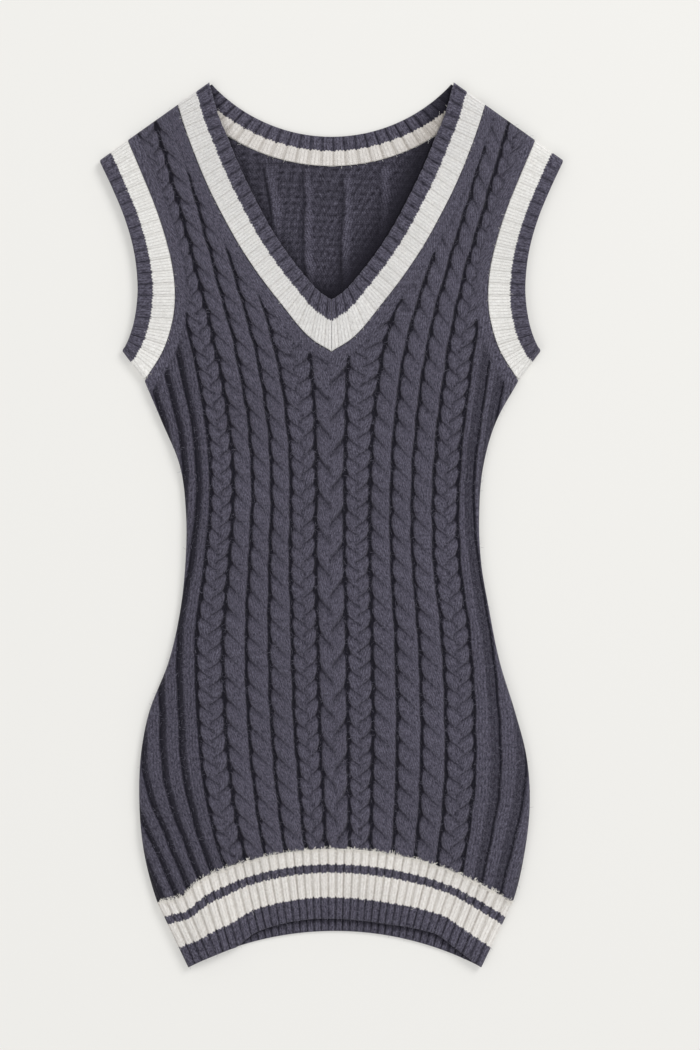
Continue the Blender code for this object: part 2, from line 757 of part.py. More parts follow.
def make_hem_band(name, front, yarn):
    """A hem band, ribbed along the dress, from one side seam to the other."""
    seam_ends = [side_corner(side, hem_seam_y, front) for side in (-1, 1)]
    edge_ends = [side_corner(side, hem_edge_y, front) for side in (-1, 1)]
    length = seam_ends[1][0] - seam_ends[0][0]
    inner = rib_stations(FOLD_RADIUS, length - FOLD_RADIUS, lambda _: HEM_RIB_PITCH,
                         RIB_CRESTS if front else RIB_RIDGE)
    ring = front_ring if front else back_ring
    rings = []
    for along, rib in with_folded_ends(inner, length, 0.5):
        share = along / length
        seam_x = seam_ends[0][0] * (1 - share) + seam_ends[1][0] * share
        edge_x = edge_ends[0][0] * (1 - share) + edge_ends[1][0] * share
        seam = np.array((seam_x, float(hem_seam_y(seam_x, front))))
        edge = np.array((edge_x, float(hem_edge_y(edge_x, front))))
        rings.append(ring(edge, seam, rib, min(along, length - along)))
    builder = bmesh.new()
    loft(builder, rings)
    return add_piece(name, builder, yarn)


def make_armhole_band(name, side, yarn):
    """An armhole band: a closed ring, folded flat at the shoulder and the underarm."""
    outer_radius = ARMHOLE_TURN_TOP / 2
    inner_radius = (FRONT_BOTTOM - BACK_TOP) / 2
    inner_middle = (FRONT_BOTTOM + BACK_TOP) / 2

    def pitch_at(along):
        share = along / ARMHOLE_LENGTH
        return SHOULDER_RIB_PITCH + (UNDERARM_RIB_PITCH - SHOULDER_RIB_PITCH) * share

    def ring(opening, seam, outer, inner, outer_push=(0.0, 0.0), inner_push=(0.0, 0.0)):
        near = opening + (seam - opening) * EDGE_NOSE
        outer_push, inner_push = np.array(outer_push), np.array(inner_push)
        places = ((opening + (outer_push + inner_push) / 2, (outer + inner) / 2),
                  (near + outer_push, outer), (seam + outer_push, outer),
                  (seam + inner_push, inner), (near + inner_push, inner))
        return [(*(place * (side, 1)), height) for place, height in places]

    def turn(share, angles):
        opening, seam = ARMHOLE_SECTION(share)
        across = (seam - opening) / np.linalg.norm(seam - opening)
        outwards = np.array((-across[1], across[0])) * (1 if share else -1)
        base = []
        for end, which in ((opening, 0), (seam, 1)):
            inwards = share
            while (end - ARMHOLE_SECTION(inwards)[which]) @ outwards < outer_radius:
                inwards += 0.0005 if share == 0.0 else -0.0005
            base.append(ARMHOLE_SECTION(inwards)[which])
        return [ring(*base, outer_radius * (1 + math.cos(angle)),
                     inner_middle + inner_radius * math.cos(angle),
                     outwards * outer_radius * math.sin(angle),
                     outwards * inner_radius * math.sin(angle)) for angle in angles]

    quarter = math.pi / 4
    start, end = FOLD_RADIUS, ARMHOLE_LENGTH - FOLD_RADIUS
    rings = turn(0.0, (4 * quarter, 3 * quarter, 2 * quarter, quarter, 0.0))
    for along, rib in rib_stations(start, end, pitch_at):
        top = FRONT_BOTTOM + BAND_GROOVE + (BAND_CREST - BAND_GROOVE) * rib
        rings.append(ring(*ARMHOLE_SECTION(along / ARMHOLE_LENGTH), top, FRONT_BOTTOM))
    rings += turn(1.0, (0.0, quarter, 2 * quarter, 3 * quarter, 4 * quarter))
    for along in np.linspace(end, start, ARMHOLE_BACK_STATIONS):
        rings.append(ring(*ARMHOLE_SECTION(along / ARMHOLE_LENGTH), 0.0, BACK_TOP))
    builder = bmesh.new()
    loft(builder, rings, closed=True)
    return add_piece(name, builder, yarn)


CHARCOAL = (0.078, 0.075, 0.104)
IVORY = (0.75, 0.73, 0.68)

make_front_panel(material("charcoal cable-knit wool, front", CHARCOAL))
make_back_panel(material("charcoal cable-knit wool, back", CHARCOAL))
make_front_neckband("neckband_front_right", -1, material("rib-knit wool, neck right", IVORY))
make_front_neckband("neckband_front_left", 1, material("rib-knit wool, neck left", IVORY))
make_back_neckband(material("rib-knit wool, back neck", IVORY))
make_armhole_band("armhole_band_right", -1, material("rib-knit wool, right armhole", IVORY))
make_armhole_band("armhole_band_left", 1, material("rib-knit wool, left armhole", IVORY))
make_hem_band("hem_band_front", True, material("rib-knit wool, front hem", IVORY))
make_hem_band("hem_band_back", False, material("rib-knit wool, back hem", IVORY))
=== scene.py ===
"""Sweater vest dress, laid flat on a pale surface and seen from straight above.

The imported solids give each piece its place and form. Each knitted piece is made again here as a
thin closed shell with its cables, ribs, stitches and stripes. Tables and sizes are in millimetres.
"""

import math

import bpy
import numpy as np
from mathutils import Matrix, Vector
from mathutils.geometry import delaunay_2d_cdt


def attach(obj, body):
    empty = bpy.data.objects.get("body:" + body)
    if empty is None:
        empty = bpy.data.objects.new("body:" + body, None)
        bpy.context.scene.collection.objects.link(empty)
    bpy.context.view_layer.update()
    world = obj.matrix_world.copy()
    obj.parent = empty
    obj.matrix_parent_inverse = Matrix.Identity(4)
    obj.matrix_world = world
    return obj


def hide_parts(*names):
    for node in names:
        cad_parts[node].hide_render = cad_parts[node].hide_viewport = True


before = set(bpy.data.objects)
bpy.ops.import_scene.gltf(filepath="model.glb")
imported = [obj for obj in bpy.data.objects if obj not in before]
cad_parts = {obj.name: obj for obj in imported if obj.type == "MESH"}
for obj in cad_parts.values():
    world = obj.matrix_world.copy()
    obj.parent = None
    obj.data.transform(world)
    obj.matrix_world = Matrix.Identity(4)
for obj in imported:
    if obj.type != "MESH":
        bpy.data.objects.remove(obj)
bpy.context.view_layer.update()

MM = 0.001


# ---------------------------------------------------------------- surface, camera and light
# A plain pale surface, warm white and matt, that the dress lies on. Two large soft lamps over its
# upper right and lower left and an even pale surround light it, and the camera looks straight down.

PHOTO_HEIGHT = 966.0        # what the photograph's height spans on the surface
PHOTO_CENTRE = (17.0, 0.0)
CAMERA_DISTANCE = 3.0       # in metres, as are the surface's size and how far it is below the dress
SURFACE_SIZE = 9.0
SURFACE_DROP = 0.0004
SENSOR = 36.0


def linear(colour):
    """Turn an sRGB hex colour into linear red, green and blue."""
    channels = [int(colour[index:index + 2], 16) / 255 for index in (1, 3, 5)]
    return [c / 12.92 if c <= 0.04045 else ((c + 0.055) / 1.055) ** 2.4 for c in channels]


def give(tree, node, inputs):
    """Give a node's inputs their links, hex colours or values, by socket name or number."""
    for name, value in inputs.items():
        socket = node.inputs[int(name[1:]) if name[1:].isdigit() else name.replace("_", " ")]
        if isinstance(value, bpy.types.NodeSocket):
            tree.links.new(value, socket)
        else:
            socket.default_value = (*linear(value), 1) if isinstance(value, str) else value


def add_node(tree, kind, settings=None, **inputs):
    """Add a node with its settings and with what its inputs take."""
    node = tree.nodes.new(kind)
    for name, value in (settings or {}).items():
        setattr(node, name, value)
    give(tree, node, inputs)
    return node


def new_material(name, **looks):
    """Return a new material, its tree and its shader, whose inputs take the looks."""
    made = bpy.data.materials.new(name)
    made.use_nodes = True
    shader = made.node_tree.nodes["Principled BSDF"]
    give(made.node_tree, shader, looks)
    return made, made.node_tree, shader


# White acrylic lit a little from below, which keeps the shadows beside the dress faint.
paper = new_material("matt white acrylic", Base_Color="#C7C6C3", Roughness=0.95,
                     Specular_IOR_Level=0.1, Emission_Color="#F0EFEB", Emission_Strength=0.33)[0]
bpy.ops.mesh.primitive_plane_add(size=SURFACE_SIZE, location=(0, 0, -SURFACE_DROP))
floor = bpy.context.object
floor.name = "floor"
floor.data.materials.append(paper)

camera = bpy.data.cameras.new("camera")
camera.sensor_width = SENSOR
camera.lens = SENSOR * CAMERA_DISTANCE / (PHOTO_HEIGHT * MM)
camera_object = bpy.data.objects.new("camera", camera)
camera_object.location = (PHOTO_CENTRE[0] * MM, PHOTO_CENTRE[1] * MM, CAMERA_DISTANCE)
bpy.context.scene.collection.objects.link(camera_object)
bpy.context.scene.camera = camera_object
bpy.context.scene.view_settings.view_transform = "Standard"

LAMPS = (
    # name, place and size in metres, watts
    ("key lamp", (3.2, 3.6, 4.2), 2.6, 205.0),
    ("fill lamp", (-3.4, -2.6, 4.4), 3.4, 62.0),
)
for name, place, size, watts in LAMPS:
    lamp = bpy.data.lights.new(name, "AREA")
    lamp.size, lamp.energy = size, watts
    lamp_object = bpy.data.objects.new(name, lamp)
    lamp_object.location = place
    lamp_object.rotation_euler = (-Vector(place)).to_track_quat("-Z", "Y").to_euler()
    bpy.context.scene.collection.objects.link(lamp_object)

surround = bpy.data.worlds.new("pale surround")
surround.use_nodes = True
give(surround.node_tree, surround.node_tree.nodes["Background"],
     {"Color": "#FFFFFF", "Strength": 0.6})
bpy.context.scene.world = surround


# ---------------------------------------------------------------- front panel
# The front is one piece of wool-blend cable knitting: rope cables in threes, herringbone braids
# between them and a wide plait up the middle, with plain ribs at the sides. The cables stand up
# over narrow purl grooves. It meets the back at the side and shoulder folds.

FRONT_BOTTOM = 5.0          # inside face of the front
PURL_GROUND = 7.0           # outside face of the front in the purl grooves
EDGE_WALL = 0.6             # what is left of the front's height at a folded edge
FOLD_RADIUS = 6.0           # the front rounds down over this width at a folded edge
SEAM_GAP = 0.35             # between a panel and a band
KNIT_STEP = 1.4             # spacing of the shell's points, half a stitch
JOIN_WITHIN = 0.02          # points this close are one
PANEL_FOOT = -360.0         # below the lowest point of a panel
PANEL_TOP = 400.0
HEM_SPAN = (-165.0, 172.0)
UNEVEN_RISE = 0.35          # how unevenly the front lies
SETTLE_ROUNDS = 8           # rounds in which a panel's rows settle on the curve of the hem
STITCH_WIDTH = 2.9
STITCH_HEIGHT = 2.1

# The side folds, then where each group of cables starts and ends, with the side ribs' widths.
SIDE_COLUMNS = ("height", "right_side", "left_side")
SIDES = (
    (-407.0, -131.1, 137.2),
    (-378.0, -146.7, 152.6),
    (-345.0, -160.4, 166.9),
    (-305.0, -171.3, 176.6),
    (-249.0, -176.6, 182.2),
    (-209.0, -174.8, 178.5),
    (-175.0, -168.4, 169.6),
    (-124.0, -149.1, 154.1),
    (-78.0, -138.8, 144.8),
    (-33.0, -134.1, 137.3),
    (10.0, -133.6, 135.7),
    (56.0, -139.7, 139.8),
    (95.0, -155.8, 151.2),
    (132.5, -171.8, 171.8),
)
WALE_COLUMNS = ("height", "field_start", "centre_start", "centre_end", "field_end",
                "first_rib_pitch", "last_rib_pitch")
WALES = (
    (-350.0, -83.0, -15.0, 31.0, 112.0, 14.0, 20.0),
    (-300.0, -102.6, -23.5, 35.4, 122.8, 14.5, 21.0),
    (-234.0, -117.0, -30.0, 37.3, 131.0, 18.0, 23.5),
    (-170.0, -122.8, -34.5, 38.2, 131.1, 17.0, 22.0),
    (-100.0, -124.0, -36.3, 37.3, 126.5, 16.5, 19.3),
    (-30.0, -115.5, -38.0, 35.4, 117.3, 13.8, 17.0),
    (29.0, -110.9, -37.3, 35.4, 116.4, 12.4, 13.8),
    (90.0, -114.5, -40.0, 38.2, 121.0, 13.0, 14.7),
    (125.0, -120.1, -44.6, 41.9, 125.6, 14.5, 15.6),
    (170.0, -129.3, -53.8, 50.1, 132.0, 15.0, 16.0),
    (230.0, -143.1, -72.0, 70.5, 142.1, 15.0, 16.0),
    (300.0, -161.5, -91.0, 93.0, 162.4, 15.0, 16.0),
    (400.0, -190.0, -121.0, 122.0, 190.0, 15.0, 16.0),
)
ROPE, BRAID, PLAIT, RIGHT_RIB, LEFT_RIB = range(5)
SIDE_RIBS = 5
FIELD_START = ((BRAID, 22.5), (ROPE, 19.0), (ROPE, 19.0), (ROPE, 19.0))
FIELD_CENTRE = ((BRAID, 23.5), (PLAIT, 26.0), (BRAID, 23.5))
FIELD_END = ((ROPE, 19.0), (ROPE, 19.0), (ROPE, 19.0), (BRAID, 22.5))
KINDS = np.array([RIGHT_RIB] * SIDE_RIBS
                 + [kind for kind, _ in FIELD_START + FIELD_CENTRE + FIELD_END]
                 + [LEFT_RIB] * SIDE_RIBS)
PLAIT_MIDDLE = SIDE_RIBS + len(FIELD_START) + 1.5

# Sections across half of the V neckband and across an armhole band, from the tip of the V to the
# shoulder and from the shoulder to the underarm: the point on the opening and that on the seam.
NECK_SECTIONS = (
    # opening x, opening y, seam x, seam y
    (0.0, 207.0, 0.0, 159.5),
    (8.0, 212.0, 16.0, 169.2),
    (24.1, 228.6, 48.0, 205.5),
    (41.9, 251.6, 67.5, 231.0),
    (55.9, 273.1, 82.5, 253.5),
    (72.3, 304.2, 100.0, 284.5),
    (84.9, 330.5, 113.5, 311.5),
    (95.7, 356.9, 125.8, 341.0),
    (103.8, 376.5, 134.2, 364.0),
    (112.3, 406.5, 141.0, 386.1),
)
ARMHOLE_SECTIONS = (
    # opening x, opening y, seam x, seam y
    (213.25, 334.8, 187.4, 353.1),
    (201.6, 310.0, 174.4, 322.5),
    (190.0, 282.0, 162.0, 292.0),
    (182.4, 256.0, 152.8, 264.0),
    (179.2, 236.3, 146.9, 240.5),
    (178.1, 212.4, 143.9, 213.0),
    (181.0, 188.5, 146.3, 186.5),
    (185.7, 172.3, 154.8, 160.0),
    (191.8, 159.3, 171.8, 132.5),
)
HEM_CENTRE_X = 2.9
HEM_SEAM_TOP = -297.4
HEM_SEAM_RADIUS = 294.0
HEM_SEAM_DIP = (8.0, -139.0, 13.0)      # depth, place and reach of the dip beside the fold
SOFT_FOLDS = (
    # x, y, reach in x, reach in y, height
    (-118.0, -372.0, 13.0, 60.0, 3.2),
    (88.0, -400.0, 30.0, 38.0, 3.4),
    (-30.0, -385.0, 42.0, 25.0, 1.2),
)

# Relief of each kind of cable, the distance between its crossings, how far a strand falls on its
# way across, and how steeply its creases slant. Ropes start a little lower from one to the next.
CABLES = (
    # kind, rise, pitch, fall, slant
    (ROPE, 3.4, 21.0, 21.0, 0.7),
    (BRAID, 3.0, 16.3, 10.0, 0.75),
    (PLAIT, 3.3, 32.2, 15.0, 0.75),
)
ROPE_STEP = 5.3
# Side ribs have a purl gap on their outer side, as the dress lies. Painted shade makes it darker
# than the rib, and painted shade dims the ribs too, most on the right side.
RIBS = (
    # kind, gap, light on the rib, shade in the gap
    (RIGHT_RIB, 4.4, 0.72, 0.84),
    (LEFT_RIB, 8.6, 0.82, 0.4),
)
RIB_RISE = 2.5
GROOVE_HALF = 1.55          # half the width of the dark groove between two cables
NOTCH_DEPTH = 1.9           # how much a crossing widens the groove beside it, and over what reach
NOTCH_REACH = 2.5
CREASE_REACH = 1.6          # half the width of the crease where a strand goes under
SWELL_REACH = 4.5           # how far from its creases a strand swells to its full height
UNDER_SHARE = 0.45          # share of its height that it keeps where it goes under
STRIP_RISE = 1.6            # the plain strip beside the neck and armhole bands
STRIP_WIDTH = 9.5
WALE_APART = 40.0           # keeps each cable's place in the knitting apart from the next


def smooth_through(stations, values):
    """Return a curve, as a function, that passes smoothly through values at rising stations."""
    stations = np.asarray(stations, float)
    values = np.asarray(values, float)
    slopes = np.gradient(values, stations)

    def at(where):
        where = np.asarray(where, float)
        left = np.clip(np.searchsorted(stations, where, side="right") - 1, 0, len(stations) - 2)
        span = stations[left + 1] - stations[left]
        t = (where - stations[left]) / span
        return ((1 + 2 * t) * (1 - t) ** 2 * values[left] + t * (1 - t) ** 2 * span * slopes[left]
                + t * t * (3 - 2 * t) * values[left + 1]
                + t * t * (t - 1) * span * slopes[left + 1])

    return at


def table_curves(table, columns):
    """Return a smooth curve for each column after the first, by name."""
    rows = np.array(table)
    return {name: smooth_through(rows[:, 0], rows[:, index])
            for index, name in enumerate(columns) if index}


def unit(steps):
    """Return steps in the plane made one millimetre long."""
    return steps / np.linalg.norm(steps, axis=-1)[..., None]


def lengths_along(points):
    """Return how far along a line of points each of them is."""
    steps = np.linalg.norm(np.diff(points, axis=0), axis=1)
    return np.concatenate(([0.0], np.cumsum(steps)))


def section_curve(sections):
    """Return a function of 0..1 for the opening and seam points of a band, and its length."""
    rows = np.array(sections)
    middle = (rows[:, :2] + rows[:, 2:]) / 2
    along = lengths_along(middle)
    curves = [smooth_through(along / along[-1], rows[:, index]) for index in range(4)]

    def at(share):
        return (np.stack((curves[0](share), curves[1](share)), axis=-1),
                np.stack((curves[2](share), curves[3](share)), axis=-1))

    return at, along[-1]


def smooth_step(low, high, value):
    """Rise smoothly from 0 at low to 1 at high."""
    t = np.clip((np.asarray(value, float) - low) / (high - low), 0, 1)
    return t * t * (3 - 2 * t)


def cut_line(section):
    """Return the edge of a panel beside a band, a gap away from the band's seam."""
    opening, seam = section(np.linspace(0, 1, 90))
    return seam + unit(seam - opening) * SEAM_GAP


def dip(distance, reach):
    """Return a soft dip: 1 on a crease and 0 well away from it."""
    return np.exp(-(distance / reach) ** 2)


def distance_to(lines, points):
    """Return how far each point is from the nearest of some polylines."""
    nearest = np.full(len(points), np.inf)
    for line in lines:
        for start, end in zip(line[:-1], line[1:]):
            run = end - start
            t = np.clip(((points - start) @ run) / (run @ run), 0, 1)
            gap = points - (start + t[:, None] * run)
            nearest = np.minimum(nearest, np.hypot(gap[:, 0], gap[:, 1]))
    return nearest


def waves(x, y, lengths, turns):
    """Return an uneven ripple between about -1 and 1 from a few crossed waves."""
    total = 0.0
    for length, turn in zip(lengths, turns):
        total = total + np.sin((x * math.cos(turn) + y * math.sin(turn)) * 2 * math.pi / length
                               + turn * 7.0)
    return total / len(lengths)


SIDE_CURVES = table_curves(SIDES, SIDE_COLUMNS)
neck_section, neck_length = section_curve(NECK_SECTIONS)
armhole_section, armhole_length = section_curve(ARMHOLE_SECTIONS)


def hem_arc(x, top, radius):
    """Height of an arc across the hem."""
    return top - radius + np.sqrt(radius ** 2 - (x - HEM_CENTRE_X) ** 2)


def hem_seam_y(x, front=True):
    """Height of the hem seam: an arc, with a dip beside the front's fold."""
    depth, place, reach = HEM_SEAM_DIP
    return hem_arc(x, HEM_SEAM_TOP, HEM_SEAM_RADIUS) - front * depth * dip(x - place, reach)


def soft_fold_height(x, y):
    """Height of the front's soft folds."""
    return sum(height * dip(x - fold_x, reach_x) * dip(y - fold_y, reach_y)
               for fold_x, fold_y, reach_x, reach_y, height in SOFT_FOLDS)


def fold_rounding(distance):
    """Share of its height that the front keeps at a distance from a folded edge."""
    return np.sqrt(1 - (1 - np.clip(distance / FOLD_RADIUS, 0, 1)) ** 2)


def panel_edges(side, neck):
    """Return half a panel's edges as polylines: side fold, armhole seam, shoulder and neck seam."""
    armhole = cut_line(armhole_section)[::-1]
    heights = np.linspace(PANEL_FOOT, armhole[0][1], 120)
    name = "right_side" if side < 0 else "left_side"
    fold = np.column_stack((np.abs(SIDE_CURVES[name](heights)), heights))
    fold[-1] = armhole[0]
    shoulder = np.array((armhole[-1], neck[-1]))
    return [edge * (side, 1) for edge in (fold, armhole, shoulder, neck)]


v_seam = cut_line(neck_section)
v_seam[0] = (0.0, NECK_SECTIONS[0][3] - SEAM_GAP)
EDGES = {side: panel_edges(side, v_seam) for side in (-1, 1)}

HEIGHTS = np.arange(PANEL_FOOT, PANEL_TOP + 1)      # the wale lines have a place at each


def wale_lines():
    """Return the places of the lines between the cables and ribs, a row for each height."""
    at = {name: curve(HEIGHTS) for name, curve in table_curves(WALES, WALE_COLUMNS).items()}
    lines = [at["field_start"] - at["first_rib_pitch"] * (SIDE_RIBS - index)
             for index in range(SIDE_RIBS)]
    for group, start, end in ((FIELD_START, "field_start", "centre_start"),
                              (FIELD_CENTRE, "centre_start", "centre_end"),
                              (FIELD_END, "centre_end", "field_end")):
        widths = np.array([width for _, width in group])
        shares = np.cumsum(widths) - widths
        lines.extend(at[start] + (at[end] - at[start]) * share / widths.sum() for share in shares)
    lines.extend(at["field_end"] + at["last_rib_pitch"] * index
                 for index in range(SIDE_RIBS + 1))
    wander = [0.5 * waves(HEIGHTS, 40.0 * index, (37.0, 61.0, 23.0), (0.2, 0.5, 0.9))
              for index in range(len(lines))]
    return np.column_stack(lines) + np.column_stack(wander)


LINES = wale_lines()


def lines_at(y):
    """Return all the wale lines at each of some heights."""
    row = np.clip(y - HEIGHTS[0], 0, len(HEIGHTS) - 1.001)
    low = row.astype(int)
    share = (row - low)[..., None]
    return LINES[low] * (1 - share) + LINES[low + 1] * share


def beside(number, y):
    """Return the wale lines to the left and to the right of each numbered cable."""
    lines = lines_at(y)
    return [np.take_along_axis(lines, number[..., None] + step, -1)[..., 0] for step in (0, 1)]


def place_of(wale, y):
    """Return x for a wale position: the number of the cable and the share of its width."""
    number = np.clip(wale.astype(int), 0, len(KINDS) - 1)
    left, right = beside(number, y)
    return left + (right - left) * (wale - number)


def wale_of(x, y):
    """Return the number of the cable at each point, the share of its width and its width."""
    number = np.clip((lines_at(y) <= x[..., None]).sum(-1) - 1, 0, len(KINDS) - 1)
    left, right = beside(number, y)
    return number, np.clip((x - left) / (right - left), 0, 1), right - left


def cable_form(x, y):
    """Return the relief of the knitting in millimetres and its marks at each point.

    The marks are how open to light it is, how deep in a groove, the turn and strength of the
    creases between strands as a vector, and how far it is purl instead of knit. The yarn turns the
    first three into painted shade.
    """
    number, u, width = wale_of(x, y)
    kind = KINDS[number]
    uneven = waves(x, y, (13.0, 21.0, 8.0), (0.5, 1.6, 2.8))
    light = np.ones_like(x)
    relief, groove, turn_x, turn_y, purl = (np.zeros_like(x) for _ in range(5))
    to_groove = np.minimum(u, 1 - u) * width
    for which, rise, pitch, fall, slant in CABLES:
        if which == ROPE:
            phase = (y + fall * u + ROPE_STEP * number) / pitch
            fade = np.clip(1.1 - 1.15 * u, 0, 1) ** 0.8
            seam = 0.0
        else:
            centre = 0.5 + 0.07 * np.sin(2 * np.pi * y / pitch)
            inwards = np.where(u < centre, u / centre, (1 - u) / (1 - centre))
            phase = (y + fall * inwards) / pitch + np.where(u < centre, 0.0, 0.5)
            fade = 1 - 0.35 * inwards
            # The braid's middle, where its strands meet, takes painted shade in dashes.
            dash = 0.55 + 0.45 * np.sin(4 * np.pi * y / pitch + 2.0 * number)
            seam = dip((1 - inwards) * width * 0.5, 1.4) * dash
        fade = fade * (1 + 0.12 * uneven)
        apart = np.abs(np.mod(phase + 0.5, 1.0) - 0.5) * pitch * slant
        half = GROOVE_HALF + NOTCH_DEPTH * dip(apart, NOTCH_REACH) * fade + 0.25 * uneven
        crease = np.maximum(dip(apart, CREASE_REACH) * fade, 0.7 * seam)
        swell = 1 - dip(apart, SWELL_REACH) * fade
        side = smooth_step(half - 1.6, half + 2.4, to_groove)
        form = side * (UNDER_SHARE + (1 - UNDER_SHARE) * swell) * (1 - 0.5 * crease)
        chosen = kind == which
        relief = np.where(chosen, rise * form, relief)
        light = np.where(chosen, 1 - 0.5 * seam, light)
        groove = np.where(chosen, half + 1.0 - to_groove, groove)
        turn_x = np.where(chosen, fade * np.cos(2 * np.pi * phase), turn_x)
        turn_y = np.where(chosen, fade * np.sin(2 * np.pi * phase), turn_y)
    for which, gap, lit, shut in RIBS:
        outwards = (1 - u if which == RIGHT_RIB else u) * width
        knit = width - gap
        past = smooth_step(knit - 0.9, knit + 0.9, outwards)
        crest = smooth_step(0.2, 2.6, outwards) * (1 - smooth_step(width - 1.6, width, outwards))
        crest = crest * (1 - 0.7 * smooth_step(knit - 2.0, knit, outwards))
        chosen = kind == which
        relief = np.where(chosen, RIB_RISE * crest, relief)
        light = np.where(chosen, lit * (1 - shut * past), light)
        groove = np.where(chosen, np.maximum(2.4 - outwards, outwards - width + 2.0), groove)
        purl = np.where(chosen, past, purl)
    return relief, {"openness": light, "groove": groove, "turn_x": turn_x, "turn_y": turn_y,
                    "purl": purl}


def knit_places(x, y, triangles):
    """Return where each triangle's corners are in the knitting: across the stitches and along.

    The stitches lean with the strand that the triangle's middle is on.
    """
    x, y = x[triangles], y[triangles]
    centre_x, centre_y = (np.repeat(values.mean(axis=1, keepdims=True), 3, 1) for values in (x, y))
    number, u, width = wale_of(centre_x, centre_y)
    across = x - beside(number, y)[0]
    lean = np.zeros_like(x)
    for which, _, pitch, fall, _ in CABLES:
        if which == ROPE:
            lower, drop = ROPE_STEP * number, fall * across / width
            centre_drop = fall * u
            slope = 0.45
        else:
            lower = np.where(u < 0.5, 0.0, 0.5 * pitch)
            drop = fall * np.where(u < 0.5, across, width - across) * 2 / width
            centre_drop = fall * np.where(u < 0.5, u, 1 - u) * 2
            slope = np.where(u < 0.5, 0.4, -0.4)
        middle = (np.floor((centre_y + centre_drop + lower) / pitch) + 0.5) * pitch
        lean = np.where(KINDS[number] == which, slope * (y + drop + lower - middle), lean)
    return np.stack((across + lean + number * WALE_APART, y), -1)


def wale_columns(side):
    """Return the wale positions of half the panel's columns of points."""
    low, high = (0, PLAIT_MIDDLE) if side < 0 else (PLAIT_MIDDLE, len(KINDS))
    middle = lines_at(np.array([0.0]))[0]
    columns = []
    for number in range(int(low), math.ceil(high)):
        start, end = max(number, low), min(number + 1, high)
        width = (middle[number + 1] - middle[number]) * (end - start)
        columns.append(np.linspace(start, end, max(4, round(width / KNIT_STEP)), endpoint=False))
    return np.concatenate(columns + [[end]])


def panel_grid(side, edges, row_step, front):
    """Return half a panel's points in rows that follow the hem low down and lie level above it."""
    fold, armhole, shoulder, neck_edge = edges
    outer = np.concatenate((fold, armhole[1:], shoulder[1:]))
    top = shoulder[-1][1]
    start = HEM_SEAM_TOP + SEAM_GAP
    rows = np.linspace(start, top, round((top - start) / row_step) + 1)
    wales, base = np.meshgrid(wale_columns(side), rows)
    tip = neck_edge[0][1]
    follow = 1 - smooth_step(start, start + 170.0, base)
    y = base.copy()
    for _ in range(SETTLE_ROUNDS):
        split = place_of(np.full_like(y, PLAIT_MIDDLE), y) * (1 - smooth_step(110.0, tip, y))
        inner = np.where(y < tip, split, np.interp(y, neck_edge[:, 1], neck_edge[:, 0]))
        outside = np.interp(y, outer[:, 1], outer[:, 0])
        low, high = (outside, inner) if side < 0 else (inner, outside)
        x = np.clip(place_of(wales, y), low, high)
        x[:, 0], x[:, -1] = low[:, 0], high[:, -1]
        y = base + follow * (hem_seam_y(x, front) - HEM_SEAM_TOP)
    return x, y


def skin(grid):
    """Return the corners of two triangles for each square of a grid of numbers or places."""
    a, b, c, d = grid[:-1, :-1], grid[:-1, 1:], grid[1:, 1:], grid[1:, :-1]
    return np.concatenate([np.stack(corners, 2).reshape(-1, 3, *grid.shape[2:])
                           for corners in ((a, b, c), (a, c, d))])


def twice_area(points, triangles):
    """Return twice the area of each triangle in plan, below 0 where it faces down."""
    a, b, c = (points[triangles[:, index], :2] for index in range(3))
    return (b - a)[:, 0] * (c - a)[:, 1] - (b - a)[:, 1] * (c - a)[:, 0]


def joined_grids(grids):
    """Join grids of points that share an edge into one set of points and triangles."""
    triangles = []
    count = 0
    for x, _ in grids:
        triangles.append(skin(np.arange(x.size).reshape(x.shape) + count))
        count += x.size
    points = np.concatenate([np.column_stack((x.ravel(), y.ravel())) for x, y in grids])
    triangles = np.concatenate(triangles)
    keys = np.round(points / JOIN_WITHIN).astype(np.int64)
    _, first, which = np.unique(keys, axis=0, return_index=True, return_inverse=True)
    triangles = which.ravel()[triangles]
    whole = ((triangles[:, 0] != triangles[:, 1]) & (triangles[:, 1] != triangles[:, 2])
             & (triangles[:, 2] != triangles[:, 0]))
    points, triangles = points[first], triangles[whole]
    turned = twice_area(points, triangles) < 0
    triangles[turned] = triangles[turned][:, ::-1]
    return points, triangles


def open_edges(triangles):
    """Return the directed edges that only one triangle has."""
    edges = np.concatenate([triangles[:, (0, 1)], triangles[:, (1, 2)], triangles[:, (2, 0)]])
    keys = edges[:, 0] * 10 ** 7 + edges[:, 1]
    back = edges[:, 1] * 10 ** 7 + edges[:, 0]
    return edges[~np.isin(keys, back)]


def add_shell(name, points, triangles, places, yarn, marks):
    """Make an object from points in millimetres; places are each corner's place in the knitting.

    Marks are values at each point that the yarn and the fibres read by name.
    """
    mesh = bpy.data.meshes.new(name)
    mesh.vertices.add(len(points))
    mesh.vertices.foreach_set("co", (points * MM).astype(np.float32).ravel())
    mesh.loops.add(triangles.size)
    mesh.loops.foreach_set("vertex_index", triangles.astype(np.int32).ravel())
    mesh.polygons.add(len(triangles))
    mesh.polygons.foreach_set("loop_start", np.arange(0, triangles.size, 3, dtype=np.int32))
    mesh.update(calc_edges=True)
    mesh.uv_layers.new(name="knit")
    mesh.uv_layers["knit"].uv.foreach_set("vector", (places * MM).astype(np.float32).ravel())
    for mark, values in marks.items():
        attribute = mesh.attributes.new(mark, "FLOAT", "POINT")
        attribute.data.foreach_set("value", np.asarray(values, np.float32))
    mesh.validate()
    mesh.shade_smooth()
    mesh.materials.append(yarn)
    piece = bpy.data.objects.new(name, mesh)
    bpy.context.scene.collection.objects.link(piece)
    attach(piece, "root")
    return piece


def ordered_loop(edges):
    """Return the points of a closed run of directed edges, in order."""
    following = dict(edges.tolist())
    first = edges[0][0]
    loop = [first]
    while following[loop[-1]] != first:
        loop.append(following[loop[-1]])
    return np.array(loop)
